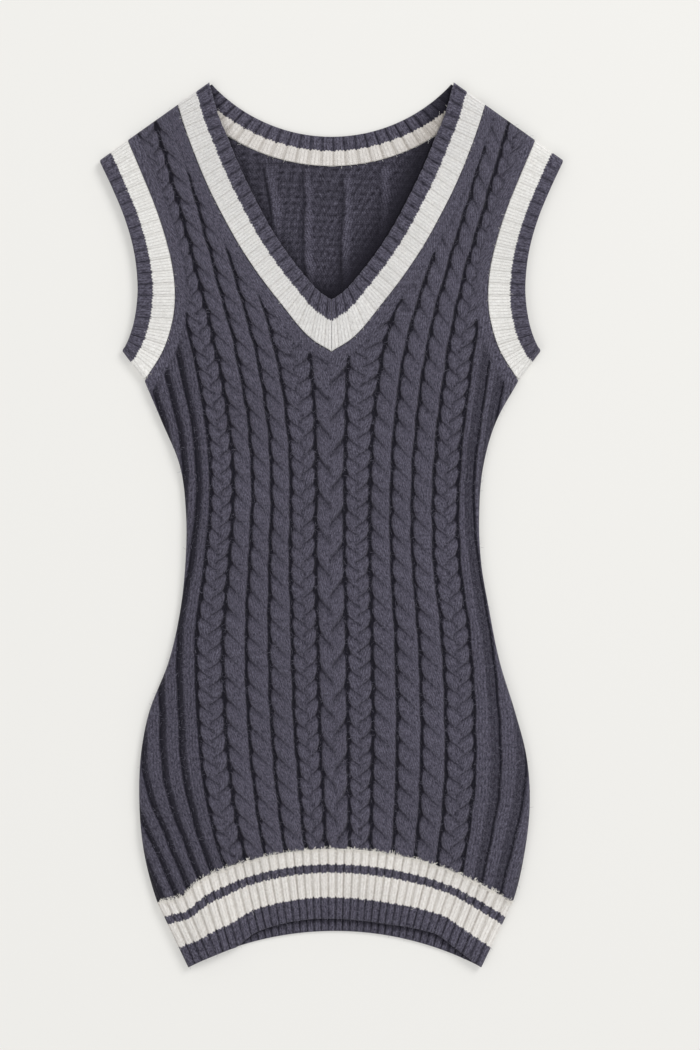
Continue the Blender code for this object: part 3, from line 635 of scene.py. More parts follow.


# The yarn is a matt wool blend. Knitting it in stocking stitch gives columns of small V's, and its
# loose fibres give it a soft sheen at a low angle and a slightly speckled look. Deep between the
# cables and between the stitches little light gets in, and that shade is painted into its colour.

STRIPE_BLUR = 0.25          # half the width over which a stripe's colour turns
STRIPE_WANDER = 1.1         # how far its edge wanders from stitch to stitch
STRAND_DRAW = 0.42          # how drawn out the fibres' speckle is along a strand

# What the yarn works out at each place, by name. A formula gives what it does and what it takes:
# numbers, names and other formulas. SMOOTHSTEP and LINEAR take a value, the range that it starts
# from and the range that it ends in.
RANGES = ("SMOOTHSTEP", "LINEAR")
YARN_FORMULAS = (
    # Painted shade in the grooves between the cables, and in the creases where one strand goes
    # under the next.
    ("in_groove", ("SMOOTHSTEP", "groove", 0.0, 2.0, 0.0, 1.0)),
    ("strength", ("SQRT", ("ADD", ("MULTIPLY", "turn_x", "turn_x"),
                           ("MULTIPLY", "turn_y", "turn_y")))),
    ("phase", ("DIVIDE", ("ARCTAN2", "turn_y", "turn_x"), 2 * math.pi)),
    ("line", ("SMOOTHSTEP", ("ABSOLUTE", "phase"), 0.0, 0.16, 0.9, 0.0)),
    ("under", ("MULTIPLY", ("SMOOTHSTEP", "phase", -0.5, -0.02, 0.0, 0.55),
               ("LESS_THAN", "phase", 0.0))),
    ("crease", ("MULTIPLY", ("MAXIMUM", "line", "under"), "strength")),
    # The light that is left after the painted shade of grooves and creases, and how much painted
    # shade that makes.
    ("open", ("MULTIPLY", ("MULTIPLY", "openness", ("SUBTRACT", 1.0, "in_groove")),
              ("SUBTRACT", 1.0, "crease"))),
    ("shut", ("LINEAR", "open", 0.0, 0.9, 1.0, 0.0)),
    # Each stitch: two legs that lean together into a V, or the other way where it is purl. What
    # lies between the stitches takes painted shade.
    ("from_middle", ("ABSOLUTE", ("SUBTRACT", ("FRACT", ("MULTIPLY", "X", 1000 / STITCH_WIDTH)),
                                  0.5))),
    ("leg", ("MULTIPLY_ADD", "from_middle", ("MULTIPLY_ADD", "purl", -3.4, 1.5),
             ("MULTIPLY", "Y", 1000 / STITCH_HEIGHT))),
    ("swing", ("MULTIPLY_ADD", "purl", 0.45, 0.4)),
    ("loop", ("MULTIPLY_ADD", ("ABSOLUTE", ("SINE", ("MULTIPLY", "leg", math.pi))), "swing",
              ("SUBTRACT", 1.0, "swing"))),
    ("column", ("SUBTRACT", 1.0, ("POWER", ("MULTIPLY", "from_middle", 2.0), 5.0))),
    ("stitch", ("MULTIPLY", "loop", "column")),
    ("between", ("SUBTRACT", 1.0, "stitch")),
    # Speckle, tone from place to place, and where a stripe's ragged edge lies, in millimetres.
    ("speckle", ("LINEAR", ("MULTIPLY_ADD", "heather", 0.45, ("MULTIPLY", "fibre", 0.55)),
                 0.4, 0.6, 0.0, 1.0)),
    ("tone", ("LINEAR", "patch", 0.3, 0.7, 0.93, 1.06)),
    ("wander", ("MULTIPLY_ADD", "ragged", STRIPE_WANDER * 2, -STRIPE_WANDER)),
    ("by_stitch", ("MULTIPLY", ("SUBTRACT", "from_middle", 0.25), 2.2)),
    ("by_groove", ("MULTIPLY", ("SUBTRACT", "open", 0.7), 1.2)),
    ("stripe_at", ("MULTIPLY_ADD", "Y", 1000.0,
                   ("ADD", "wander", ("ADD", "by_stitch", "by_groove")))),
    # Relief of the stitches and the fibres, with the creases sunk in.
    ("relief", ("MULTIPLY_ADD", "crease", -1.4,
                ("MULTIPLY_ADD", "stitch", 0.8, ("MULTIPLY", "fibre", 0.45)))),
)


def work_out(tree, term, value):
    """Return what a number, a value's name or a formula comes to, with a node for each step."""
    if not isinstance(term, tuple):
        return value.get(term, term)
    kind, setting = (("ShaderNodeMapRange", "interpolation_type") if term[0] in RANGES
                     else ("ShaderNodeMath", "operation"))
    takes = {f"_{number}": work_out(tree, each, value) for number, each in enumerate(term[1:])}
    return add_node(tree, kind, {setting: term[0]}, **takes).outputs[0]


def yarn_material(name, stripes, width, ivory=()):
    """Return a knitted yarn: charcoal, with ivory between pairs of distances from the free edge.

    Ivory is its darker and its paler tone.
    """
    made, tree, shader = new_material(name, Roughness=0.93, Specular_IOR_Level=0.25,
                                      Sheen_Weight=0.22, Sheen_Roughness=0.5,
                                      Sheen_Tint="#D8D6DE")
    place = add_node(tree, "ShaderNodeUVMap", {"uv_map": "knit"}).outputs["UV"]
    split = add_node(tree, "ShaderNodeSeparateXYZ", Vector=place).outputs
    solid = add_node(tree, "ShaderNodeTexCoord").outputs["Object"]
    strand = add_node(tree, "ShaderNodeVectorMath", {"operation": "MULTIPLY"}, _0=place,
                      _1=(1.0, STRAND_DRAW, 1.0)).outputs[0]
    value = {"X": split["X"], "Y": split["Y"]}
    for mark in ("openness", "groove", "turn_x", "turn_y", "purl"):
        value[mark] = add_node(tree, "ShaderNodeAttribute", {"attribute_name": mark}).outputs["Fac"]
    for noise, where, scale, detail, rough in (("fibre", strand, 1150.0, 2.0, 0.6),
                                               ("heather", strand, 560.0, 2.0, 0.6),
                                               ("patch", solid, 14.0, 2.0, 0.5),
                                               ("ragged", solid, 300.0, 3.0, 0.7)):
        value[noise] = add_node(tree, "ShaderNodeTexNoise", Vector=where, Scale=scale,
                                Detail=detail, Roughness=rough).outputs["Fac"]
    for label, formula in YARN_FORMULAS:
        value[label] = work_out(tree, formula, value)

    def yarn_colour(shadow, dark, pale, groove_shade, stitch_shade):
        """Mix a yarn's tones: speckled, with painted shade between its stitches and in the grooves.
        """
        body = add_node(tree, "ShaderNodeMix", {"data_type": "RGBA"}, Factor=value["speckle"],
                        _6=dark, _7=pale).outputs[2]
        for shade, share in (("between", stitch_shade), ("shut", groove_shade)):
            body = add_node(tree, "ShaderNodeMix", {"data_type": "RGBA"}, _6=body, _7=shadow,
                            Factor=work_out(tree, ("MULTIPLY", shade, share), value)).outputs[2]
        return body

    colour = yarn_colour("#0A0716", "#35323F", "#6C6979", 0.98, 0.5)
    if stripes:
        ramp = add_node(tree, "ShaderNodeValToRGB")
        stops = [((border + blur) / width, shade) for stripe in stripes
                 for border, shades in zip(stripe, ((0.0, 1.0), (1.0, 0.0)))
                 for blur, shade in zip((-STRIPE_BLUR, STRIPE_BLUR), shades)
                 if 0.0 < (border + blur) / width < 1.0]
        elements = ramp.color_ramp.elements
        while len(elements) < len(stops):
            elements.new(0.5)
        for element, (at, shade) in zip(elements, stops):
            element.position = at
            element.color = (shade, shade, shade, 1)
        give(tree, ramp, {"Fac": work_out(tree, ("DIVIDE", "stripe_at", width), value)})
        colour = add_node(tree, "ShaderNodeMix", {"data_type": "RGBA"},
                          Factor=ramp.outputs["Color"], _6=colour,
                          _7=yarn_colour("#8F867C", *ivory, 0.62, 0.14)).outputs[2]
    toned = add_node(tree, "ShaderNodeHueSaturation", Value=value["tone"], Color=colour).outputs[0]
    bump = add_node(tree, "ShaderNodeBump", Height=value["relief"], Strength=0.8, Distance=0.0008)
    give(tree, shader, {"Base Color": toned, "Normal": bump.outputs[0]})
    return made


points, triangles = joined_grids([panel_grid(side, EDGES[side], KNIT_STEP, True)
                                  for side in (-1, 1)])
x, y = points.T
sewn = [EDGES[side][index] for side in (-1, 1) for index in (1, 3)]
folded = [EDGES[side][index] for side in (-1, 1) for index in (0, 2)]
hem_line = np.linspace(*HEM_SPAN, 120)
hem_line = np.column_stack((hem_line, hem_seam_y(hem_line)))
relief, marks = cable_form(x, y)
to_seam = distance_to(sewn, points)
cables = smooth_step(STRIP_WIDTH, STRIP_WIDTH + 3.0, to_seam)
# A purl line beside the plain strip sinks a little and takes painted shade, and the strip itself
# gets no painted shade of grooves or creases.
purl_line = dip(to_seam - STRIP_WIDTH - 1.2, 1.3)
relief = (cables * relief + (1 - cables) * STRIP_RISE) * (1 - 0.3 * purl_line)
marks["openness"] = (cables * marks["openness"] + (1 - cables)) * (1 - 0.25 * purl_line)
to_edge = np.minimum(to_seam, distance_to([hem_line], points))
relief = relief * smooth_step(-2.5, 3.0, to_edge)
marks["groove"] = marks["groove"] - 4.0 * (1 - cables)
for mark in ("turn_x", "turn_y", "purl"):
    marks[mark] = marks[mark] * cables
relief = relief + UNEVEN_RISE * waves(x, y, (140.0, 95.0, 60.0), (0.4, 1.9, 2.7))
full = PURL_GROUND + relief + soft_fold_height(x, y) - FRONT_BOTTOM - EDGE_WALL
z = FRONT_BOTTOM + EDGE_WALL + full * fold_rounding(distance_to(folded, points))

rim = ordered_loop(open_edges(triangles))
after = np.roll(rim, -1)
feet = np.arange(len(rim)) + len(points)
feet_after = np.roll(feet, -1)
walls = np.concatenate((np.column_stack((after, rim, feet)),
                        np.column_stack((after, feet, feet_after))))
rim_places = [Vector(point) for point in points[rim]]
_, _, filling, corners, _, sources = delaunay_2d_cdt(rim_places, [], [list(range(len(rim)))],
                                                     0, 1e-6)
underside = np.array([[feet[corners[index][0]] for index in face[::-1]]
                      for face, source in zip(filling, sources) if source])
shell = np.concatenate((np.column_stack((x, y, z)),
                        np.column_stack((points[rim], np.full(len(rim), FRONT_BOTTOM)))))
hidden = np.concatenate((walls, underside))
places = np.concatenate((knit_places(x, y, triangles), shell[hidden][:, :, :2]))
marks = {mark: np.concatenate((values, values[rim])) for mark, values in marks.items()}
front = add_shell("front_cable_knit", shell, np.concatenate((triangles, hidden)), places,
                  yarn_material("charcoal wool-blend cable knit", (), 1.0),
                  {**marks, "charcoal": np.arange(len(shell)) < len(x)})
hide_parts("front_panel")


# ---------------------------------------------------------------- V neckband, front halves
# Each half of the V is a strip of rib knitting in the same yarn, charcoal along the opening and
# ivory along the seam. Its ribs run across it, and the halves meet in a mitre at the tip.

BAND_GROOVE = 2.0           # height of a band above its inside face in a groove, and on a rib
BAND_CREST = 3.8
EDGE_NOSE = 0.07            # share of a band's width that its round free edge takes
BAND_STEP = 1.2             # spacing of a band's points
NECK_RIB_PITCH = 11.6
NECK_RIB_GROOVE = 2.1       # half the width of the groove between two ribs
NECK_BAND_WIDTH = 33.0
IVORY_START = 14.0          # the band is ivory from here to its seam
NECK_STRIPES = ((IVORY_START, 99.0),)
CHARCOAL_END = 12.5         # the painted shade in the grooves is darkest in the middle of the charcoal
CHARCOAL_MIDDLE = 7.0
CHARCOAL_REACH = 4.2
IVORY_LIGHT = 0.62          # light in the ivory's grooves, and how much less in the charcoal's
CHARCOAL_LESS = 0.5
FIBRE_FLOOR = 2.2           # no fibres grow below this height
TUFT_WIDTH = 3.5            # long ivory ends grow in this strip along a seam


def rib_wave(along, pitch, groove):
    """Return a row of flat round ribs with grooves of a given half width between them, 0 to 1."""
    share = np.mod(along / pitch, 1.0)
    to_groove = np.minimum(share, 1 - share) * pitch
    return np.sqrt(smooth_step(0.0, groove * 1.5, to_groove))


def band_shares(width, step=BAND_STEP):
    """Return shares of a band's width, from its round free edge to its seam."""
    nose = EDGE_NOSE * (1 - np.cos(np.linspace(0, math.pi / 2, 6)[:-1]))
    return np.concatenate((nose, np.linspace(EDGE_NOSE, 1, round(width / step))))


def band_rings(opening, seam, outer, inner, shares, outer_push=0.0, inner_push=0.0, fill=0.0):
    """Return rings of points round a band: over its outer face and back under its inner face.

    Fill is a height that is added to the outer face's grooves, for each station and share.
    """
    edge = np.sqrt(1 - (1 - np.clip(shares / EDGE_NOSE, 0, 1)) ** 2)

    def face(shares, edge, height, push, fill=0.0):
        plan = opening[:, None] + (seam - opening)[:, None] * shares[:, None]
        middle = (outer + inner) / 2
        plan = plan + np.broadcast_to(push, opening.shape)[:, None] * edge[:, None]
        high = middle[:, None] + (height - middle)[:, None] * edge + fill
        return np.concatenate((plan, high[:, :, None]), axis=2)

    under = slice(None, 0, -3)
    return np.concatenate((face(shares, edge, outer, outer_push, fill),
                           face(shares[under], edge[under], inner, inner_push)), axis=1)


def even(across):
    """A band whose grooves get the same painted shade from its edge to its seam."""
    return 0.0 * across


def dark_in_charcoal(across):
    """A band whose grooves get dark painted shade in the charcoal and faint painted shade in the
    ivory.
    """
    charcoal = dip(across - CHARCOAL_MIDDLE, CHARCOAL_REACH)
    return np.where(across < CHARCOAL_END, IVORY_LIGHT - CHARCOAL_LESS * charcoal, IVORY_LIGHT)


def filled_ivory(rib, tight, shares, width, low):
    """Return how far the grooves are filled where the band is ivory, for stations and shares."""
    depth = (BAND_CREST - BAND_GROOVE) * (1 - rib)
    return (depth * tight)[:, None] * smooth_step(low - 1.5, low + 2.5, shares * width)


def add_band(name, rings, along, rib, shares, width, yarn, stripes, closed=False, groove_light=even,
             shade=None):
    """Skin a band's rings of points into a closed shell and make it an object."""
    stations, around = rings.shape[:2]
    numbers = np.arange(stations * around).reshape(stations, around)
    if closed:
        numbers = np.concatenate((numbers, numbers[:1]))
        along = np.append(along, along[-1] + BAND_STEP)
    across = np.concatenate((shares, shares[::-3][:around - len(shares)], (0.0,))) * width
    numbers = np.concatenate((numbers, numbers[:, :1]), axis=1)
    triangles = skin(numbers)
    places = skin(np.stack(np.broadcast_arrays(along[:, None], across[None]), -1))
    if not closed:
        for ring, which in ((0, 1), (stations - 1, -1)):
            ends = numbers[ring, :-1][::which]
            fan = np.column_stack((np.full(around - 2, ends[0]), ends[1:-1], ends[2:]))
            triangles = np.concatenate((triangles, fan[:, ::-1]))
            middle = np.full((around - 2, 3, 2), (along[ring], width / 2))
            places = np.concatenate((places, middle))
    points = rings.reshape(-1, 3)
    a, b, c = (points[triangles[:, index]] for index in range(3))
    if (np.cross(a, b) * c).sum() < 0:
        triangles, places = triangles[:, ::-1], places[:, ::-1]
    # Painted shade in the grooves between the ribs, times any painted light or shade that the band
    # is given.
    light = (rib[:, None] + (1 - rib[:, None]) * groove_light(across[None, :-1])).ravel()
    if shade is not None:
        light = light * shade(points[:, 0], points[:, 1])
    outside = np.arange(around) < len(shares)
    white = outside & (sum((across[:-1] > low) & (across[:-1] < high)
                           for low, high in stripes) > 0)
    marks = {"ivory": white, "charcoal": outside & ~white,
             "seam": outside & (across[:-1] > width - TUFT_WIDTH)}
    marks = {mark: np.tile(values, stations) & (points[:, 2] > FIBRE_FLOOR)
             for mark, values in marks.items()}
    marks["seam"] = marks["seam"] * np.repeat(rib ** 3, around)
    return add_shell(name, points, triangles, places, yarn, {"openness": light, **marks})


def front_heights(opening, seam, rib, to_fold):
    """Return the outer and inner heights of a front band at each station."""
    height = BAND_GROOVE + (BAND_CREST - BAND_GROOVE) * rib
    middle = (opening + seam) / 2
    bow = soft_fold_height(middle[:, 0], middle[:, 1]) * fold_rounding(to_fold)
    outer = FRONT_BOTTOM + EDGE_WALL + (height - EDGE_WALL) * fold_rounding(to_fold) + bow
    return outer, np.full_like(outer, FRONT_BOTTOM) + bow


neck_yarn = yarn_material("striped wool-blend rib, neck", NECK_STRIPES, NECK_BAND_WIDTH,
                          ("#D6D4D2", "#EAE9E7"))
shares = band_shares(NECK_BAND_WIDTH)
for name, node, side in (("neckband_rib_right", "neckband_front_right", -1),
                         ("neckband_rib_left", "neckband_front_left", 1)):
    along = np.linspace(0, neck_length, round(neck_length / BAND_STEP))
    opening, seam = neck_section(along / neck_length)
    opening[:, 0] = np.maximum(opening[:, 0], 0.03)
    seam[:, 0] = np.maximum(seam[:, 0], 0.03)
    rib = rib_wave(along + 0.5 * NECK_RIB_PITCH, NECK_RIB_PITCH, NECK_RIB_GROOVE)
    opening = opening + unit(opening - seam) * (rib[:, None] - 0.8) * 0.5
    opening, seam = opening * (side, 1), seam * (side, 1)
    outer, inner = front_heights(opening, seam, rib, neck_length - along)
    tight = 0.45 + 0.4 * smooth_step(40.0, 130.0, along)
    rings = band_rings(opening, seam, outer, inner, shares,
                       fill=filled_ivory(rib, tight, shares, NECK_BAND_WIDTH, IVORY_START))
    half = add_band(name, rings, along, rib, shares, NECK_BAND_WIDTH, neck_yarn,
                    NECK_STRIPES, groove_light=dark_in_charcoal)
    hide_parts(node)


# ---------------------------------------------------------------- back of the neckband
# The band's back half is a crescent of the same rib, and its inside shows through the neck. It is
# charcoal along the opening and ivory along its seam with the back.

BACK_TOP = 3.0              # inside face of the back
LIP_TOP = 4.7               # the back's edge turns up to here, over this width, at a fold
LIP_WIDTH = 2.0
LIP_END = 3.4
LIP_FOOT = 3.6              # and its outside starts to turn under from here
BACK_NECK_CENTRE_Y = 507.0
BACK_NECK_RADIUS = 150.0
BACK_NECK_DEPTH = 27.0
BACK_NECK_HALF_WIDTH = 109.8
BACK_NECK_SEAM_HALF_WIDTH = 134.0
BACK_NECK_RIB_PITCH = 9.6
BACK_NECK_RIB_GROOVE = 1.6
BACK_NECK_STRIPES = ((13.4, 99.0),)
RIGHT_SHADE_REACH = 12.0    # how far in the V's edges shade the inside of the back
LEFT_SHADE_REACH = 33.0


def back_neck_arc(radius, half_width, shares):
    """Return points of an arc of the back neck, for shares from -1 at -X to 1 at +X."""
    angles = math.asin(half_width / radius) * shares
    return np.column_stack((radius * np.sin(angles), BACK_NECK_CENTRE_Y - radius * np.cos(angles)))


def back_lip(to_fold):
    """Return the share that the back's edge is turned up, and the height of its outside."""
    foot = LIP_FOOT * (1 - smooth_step(0.0, FOLD_RADIUS - 1.0, to_fold)) ** 2
    return 1 - smooth_step(LIP_WIDTH, LIP_END, to_fold), foot


def back_heights(rib, to_fold):
    """Return the inside and outside heights of a back band, turned up at its folded ends."""
    over = BAND_GROOVE + (BAND_CREST - BAND_GROOVE) * rib * 0.8
    lip, foot = back_lip(to_fold)
    over = over + (LIP_TOP - over) * lip
    return over, foot + 0.7 * (1 - rib) * smooth_step(4.0, 8.0, to_fold)


length = 2 * math.asin(BACK_NECK_HALF_WIDTH / BACK_NECK_RADIUS) * BACK_NECK_RADIUS
along = np.linspace(0, length, round(length / BAND_STEP))
opening = back_neck_arc(BACK_NECK_RADIUS, BACK_NECK_HALF_WIDTH, 2 * along / length - 1)
seam = back_neck_arc(BACK_NECK_RADIUS + BACK_NECK_DEPTH, BACK_NECK_SEAM_HALF_WIDTH,
                     2 * along / length - 1)
rib = rib_wave(along, BACK_NECK_RIB_PITCH, BACK_NECK_RIB_GROOVE)
over, under = back_heights(rib, np.minimum(along, length - along))
shares = band_shares(BACK_NECK_DEPTH)


def neck_shade(x, y):
    """Share of light inside the neck: dim under the V's edges, most of all at the wearer's left."""
    edge = neck_section(np.linspace(0, 1, 60))[0]
    places = np.column_stack((x, y))
    near_right, near_left = (distance_to([edge * (side, 1)], places) for side in (-1, 1))
    return ((0.5 + 0.5 * smooth_step(0.0, RIGHT_SHADE_REACH, near_right))
            * (0.02 + 0.98 * smooth_step(0.0, LEFT_SHADE_REACH, near_left)))


back_neck = add_band("neckband_back_rib", band_rings(opening, seam, over, under, shares), along,
                     rib, shares, BACK_NECK_DEPTH,
                     yarn_material("striped wool-blend rib, back neck", BACK_NECK_STRIPES,
                                   BACK_NECK_DEPTH, ("#D3CEC9", "#E6E2DE")),
                     BACK_NECK_STRIPES, shade=neck_shade)
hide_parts("neckband_back")


# ---------------------------------------------------------------- armhole bands
# Each armhole has a ring of the same rib, folded flat at the shoulder and the underarm, charcoal
# along the opening and ivory along the seam.

ARMHOLE_BAND_WIDTH = 32.0
ARMHOLE_IVORY_START = 13.6
ARMHOLE_STRIPES = ((ARMHOLE_IVORY_START, 99.0),)
SHOULDER_RIB_PITCH = 13.0
CLOSER_BELOW = 0.17         # how much closer the ribs are towards the underarm
ARMHOLE_RIB_GROOVE = 1.5
ARMHOLE_TURN_TOP = 8.3      # height of a band where it folds over
TURN_ANGLES = 9             # sections of its fold
TURN_STEP = 0.0005          # steps in which the place of the fold is found

armhole_yarn = yarn_material("striped wool-blend rib, armhole", ARMHOLE_STRIPES,
                             ARMHOLE_BAND_WIDTH, ("#E1DFDB", "#F5F4F1"))
outer_radius = ARMHOLE_TURN_TOP / 2
inner_radius = (FRONT_BOTTOM - BACK_TOP) / 2
inner_middle = (FRONT_BOTTOM + BACK_TOP) / 2


def armhole_turn(share):
    """Return the points that a fold of the armhole band turns about, and the way outwards."""
    opening, seam = armhole_section(share)
    across = unit(seam - opening)
    outwards = np.array((-across[1], across[0])) * (1 if share else -1)
    base = []
    for end, which in ((opening, 0), (seam, 1)):
        inwards = share
        while (end - armhole_section(inwards)[which]) @ outwards < outer_radius:
            inwards += TURN_STEP if share == 0.0 else -TURN_STEP
        base.append(armhole_section(inwards)[which])
    return base[0], base[1], outwards


shares = band_shares(ARMHOLE_BAND_WIDTH)
inner_along = np.linspace(FOLD_RADIUS, armhole_length - FOLD_RADIUS,
                          round((armhole_length - 2 * FOLD_RADIUS) / BAND_STEP))
warped = inner_along * (1 + CLOSER_BELOW * inner_along / armhole_length)
rib = rib_wave(warped, SHOULDER_RIB_PITCH, ARMHOLE_RIB_GROOVE)
runs = []
for share, angles in ((0.0, np.linspace(math.pi, 0, TURN_ANGLES)),
                      (1.0, np.linspace(0, math.pi, TURN_ANGLES))):
    opening, seam, outwards = armhole_turn(share)
    runs.append((np.tile(opening, (TURN_ANGLES, 1)), np.tile(seam, (TURN_ANGLES, 1)),
                 outer_radius * (1 + np.cos(angles)), inner_middle + inner_radius * np.cos(angles),
                 outwards * np.sin(angles)[:, None] * outer_radius,
                 outwards * np.sin(angles)[:, None] * inner_radius,
                 np.full(TURN_ANGLES, 0.85)))
opening, seam = armhole_section(inner_along / armhole_length)
still = np.zeros_like(opening)
runs.insert(1, (opening, seam, FRONT_BOTTOM + BAND_GROOVE + (BAND_CREST - BAND_GROOVE) * rib,
                np.full_like(rib, FRONT_BOTTOM), still, still, rib))
runs.append((opening[::-1], seam[::-1], 0.9 * (1 - rib[::-1]), np.full_like(rib, BACK_TOP),
             still, still, rib[::-1]))
tight = np.concatenate((np.zeros(TURN_ANGLES), 0.85 - 0.4 * smooth_step(80.0, 170.0, inner_along),
                        np.zeros(TURN_ANGLES + len(inner_along))))
opening, seam, outer, inner, outer_push, inner_push, rib = (
    np.concatenate([run[index] for run in runs]) for index in range(7))
middles = np.column_stack(((opening + seam) / 2 + outer_push, outer))
along = lengths_along(middles)
for name, node, side in (("armhole_rib_right", "armhole_band_right", -1),
                         ("armhole_rib_left", "armhole_band_left", 1)):
    rings = band_rings(opening * (side, 1), seam * (side, 1), outer, inner, shares,
                       outer_push * (side, 1), inner_push * (side, 1),
                       filled_ivory(rib, tight, shares, ARMHOLE_BAND_WIDTH,
                                    ARMHOLE_IVORY_START))
    band = add_band(name, rings, along, rib, shares, ARMHOLE_BAND_WIDTH, armhole_yarn,
                    ARMHOLE_STRIPES, closed=True, groove_light=dark_in_charcoal)
    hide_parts(node)


# ---------------------------------------------------------------- hem bands
# The hem is a deep band of rib, charcoal at its edge with a wide and a narrow ivory stripe, and is
# folded at the sides. The front's edge rides up in the middle and shows the back's inside below.

HEM_EDGE_TOP = -373.3
HEM_EDGE_RADIUS = 290.0
HEM_RISE_COLUMNS = ("x", "rise_of_front_edge")
HEM_RISES = (
    (-140.0, 0.0),
    (-86.0, 0.5),
    (-72.0, 7.5),
    (-50.0, 10.8),
    (-20.0, 12.2),
    (20.0, 11.3),
    (53.0, 11.0),
    (84.0, 12.8),
    (98.0, 12.8),
    (109.0, 8.5),
    (122.0, 4.0),
    (140.0, 0.0),
)
HEM_RIB_PITCH = 7.8
HEM_RIB_GROOVE = 1.6        # half the width of the groove between two ribs
HEM_BAND_WIDTH = 65.0
HEM_STEP = 0.95             # spacing of the points along the hem, and up it
HEM_STEP_UP = 1.3
CORNER_ROUNDS = 30          # rounds in which a corner is found
HEM_STRIPES = ((20.2, 43.2), (51.0, 99.0))
hem_rise = table_curves(HEM_RISES, HEM_RISE_COLUMNS)["rise_of_front_edge"]


def hem_edge_y(x, front):
    """Height of a hem band's free edge."""
    return hem_arc(x, HEM_EDGE_TOP, HEM_EDGE_RADIUS) + front * np.clip(hem_rise(x), 0, None)


def side_corner(side, shade_line_y, front):
    """Return x where a line across the dress meets a side fold."""
    x = side * 150.0
    for _ in range(CORNER_ROUNDS):
        x = float(SIDE_CURVES["right_side" if side < 0 else "left_side"](shade_line_y(x, front)))
    return x


def hem_shade(x, y):
    """Share of light on the back's inside: dim just below the front's edge."""
    return 0.3 + 0.7 * smooth_step(-1.0, 8.0, hem_edge_y(x, True) - y)


hem_yarn = yarn_material("striped wool-blend rib, hem", HEM_STRIPES, HEM_BAND_WIDTH,
                         ("#DFDAD4", "#F3F0EC"))
shares = band_shares(HEM_BAND_WIDTH, HEM_STEP_UP)
for name, node, front_side in (("hem_rib_front", "hem_band_front", True),
                               ("hem_rib_back", "hem_band_back", False)):
    seam_ends = [side_corner(side, hem_seam_y, front_side) for side in (-1, 1)]
    edge_ends = [side_corner(side, hem_edge_y, front_side) for side in (-1, 1)]
    length = seam_ends[1] - seam_ends[0]
    along = np.linspace(0, length, round(length / HEM_STEP))
    seam_x, edge_x = (np.linspace(*ends, len(along)) for ends in (seam_ends, edge_ends))
    seam = np.column_stack((seam_x, hem_seam_y(seam_x, front_side)))
    edge = np.column_stack((edge_x, hem_edge_y(edge_x, front_side)))
    rib = rib_wave(along, HEM_RIB_PITCH, HEM_RIB_GROOVE)
    to_fold = np.minimum(along, length - along)
    outer, inner = (front_heights(edge, seam, rib, to_fold) if front_side
                    else back_heights(rib, to_fold))
    rings = band_rings(edge, seam, outer, inner, shares)
    band = add_band(name, rings, along, rib, shares, HEM_BAND_WIDTH, hem_yarn, HEM_STRIPES,
                    shade=None if front_side else hem_shade)
    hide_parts(node)


# ---------------------------------------------------------------- back panel
# The back is the same cable knitting. Its inside shows in the neck as narrow raised ribs, where the
# purl grooves stand up, between rough purl sides of the cables. Its outside lies on the surface.

BACK_STEP = 2.8             # spacing of the shell's rows
PRESSED_RELIEF = 1.0        # depth of the cables' grooves on the outside, which is pressed flat
INSIDE_RIB_HALF = 4.0       # half the width of a smooth rib inside, which stands up
INSIDE_LINE_SPAN = 14.0     # the painted shade line beside each rib fades out over half of this
INSIDE_HIGH, INSIDE_LOW = 330.0, 190.0
INSIDE_RIBS = (
    # x at the higher place, x at the lower, strength of the painted shade line
    (-88.0, -80.0, 0.8),
    (-57.0, -40.0, 1.0),
    (-21.5, -20.5, 1.0),
    (15.5, 12.0, 1.1),
    (50.0, 44.0, 0.6),
    (84.0, 78.0, 0.8),
)

neck_line = back_neck_arc(BACK_NECK_RADIUS + BACK_NECK_DEPTH + SEAM_GAP, BACK_NECK_SEAM_HALF_WIDTH,
                          np.linspace(0, 1, 60))
back_edges = {side: panel_edges(side, neck_line) for side in (-1, 1)}
points, triangles = joined_grids([panel_grid(side, back_edges[side], BACK_STEP, False)
                                  for side in (-1, 1)])
x, y = points.T
rim = open_edges(triangles)
folded = [back_edges[side][index] for side in (-1, 1) for index in (0, 2)]
to_fold = distance_to(folded, points)
smooth_rib, inside_groove, shade_line_x, shade_line_y = (np.zeros_like(x) for _ in range(4))
below_seam = BACK_NECK_CENTRE_Y - BACK_NECK_RADIUS - BACK_NECK_DEPTH + x ** 2 / 360.0 - y
# Beside each rib inside, painted shade draws a dark line, carried like a crease.
for high_x, low_x, depth in INSIDE_RIBS:
    up = (y - INSIDE_LOW) / (INSIDE_HIGH - INSIDE_LOW)
    off = x - (low_x + (high_x - low_x) * up) - 0.8 * np.sin(y / 11.0)
    smooth_rib = np.maximum(smooth_rib, smooth_step(-INSIDE_RIB_HALF, 0.0, off)
                            * smooth_step(-INSIDE_RIB_HALF, -2.0, -off))
    to_line = off + INSIDE_RIB_HALF + 0.8
    inside_groove = np.maximum(inside_groove, dip(to_line, 1.7))
    line = depth * dip(to_line, 5.5) * smooth_step(3.0, 16.0, below_seam)
    shade_line_x = shade_line_x + line * np.cos(2 * np.pi * to_line / INSIDE_LINE_SPAN)
    shade_line_y = shade_line_y + line * np.sin(2 * np.pi * to_line / INSIDE_LINE_SPAN)
smooth_rib = smooth_rib * smooth_step(3.0, 16.0, below_seam)
rough = waves(x, y, (6.2, 7.1, 4.9), (0.3, 1.5, 2.5))
lip, foot = back_lip(to_fold)
inside = BACK_TOP - 0.5 + 0.6 * smooth_rib - 0.9 * inside_groove + 0.35 * rough * (1 - smooth_rib)
inside = inside + (LIP_TOP - inside) * lip
relief, marks = cable_form(x, y)
outside = np.minimum(foot + PRESSED_RELIEF * smooth_step(0.0, 2.0, marks["groove"]) * (1 - lip),
                     inside - 0.6)
count = len(points)
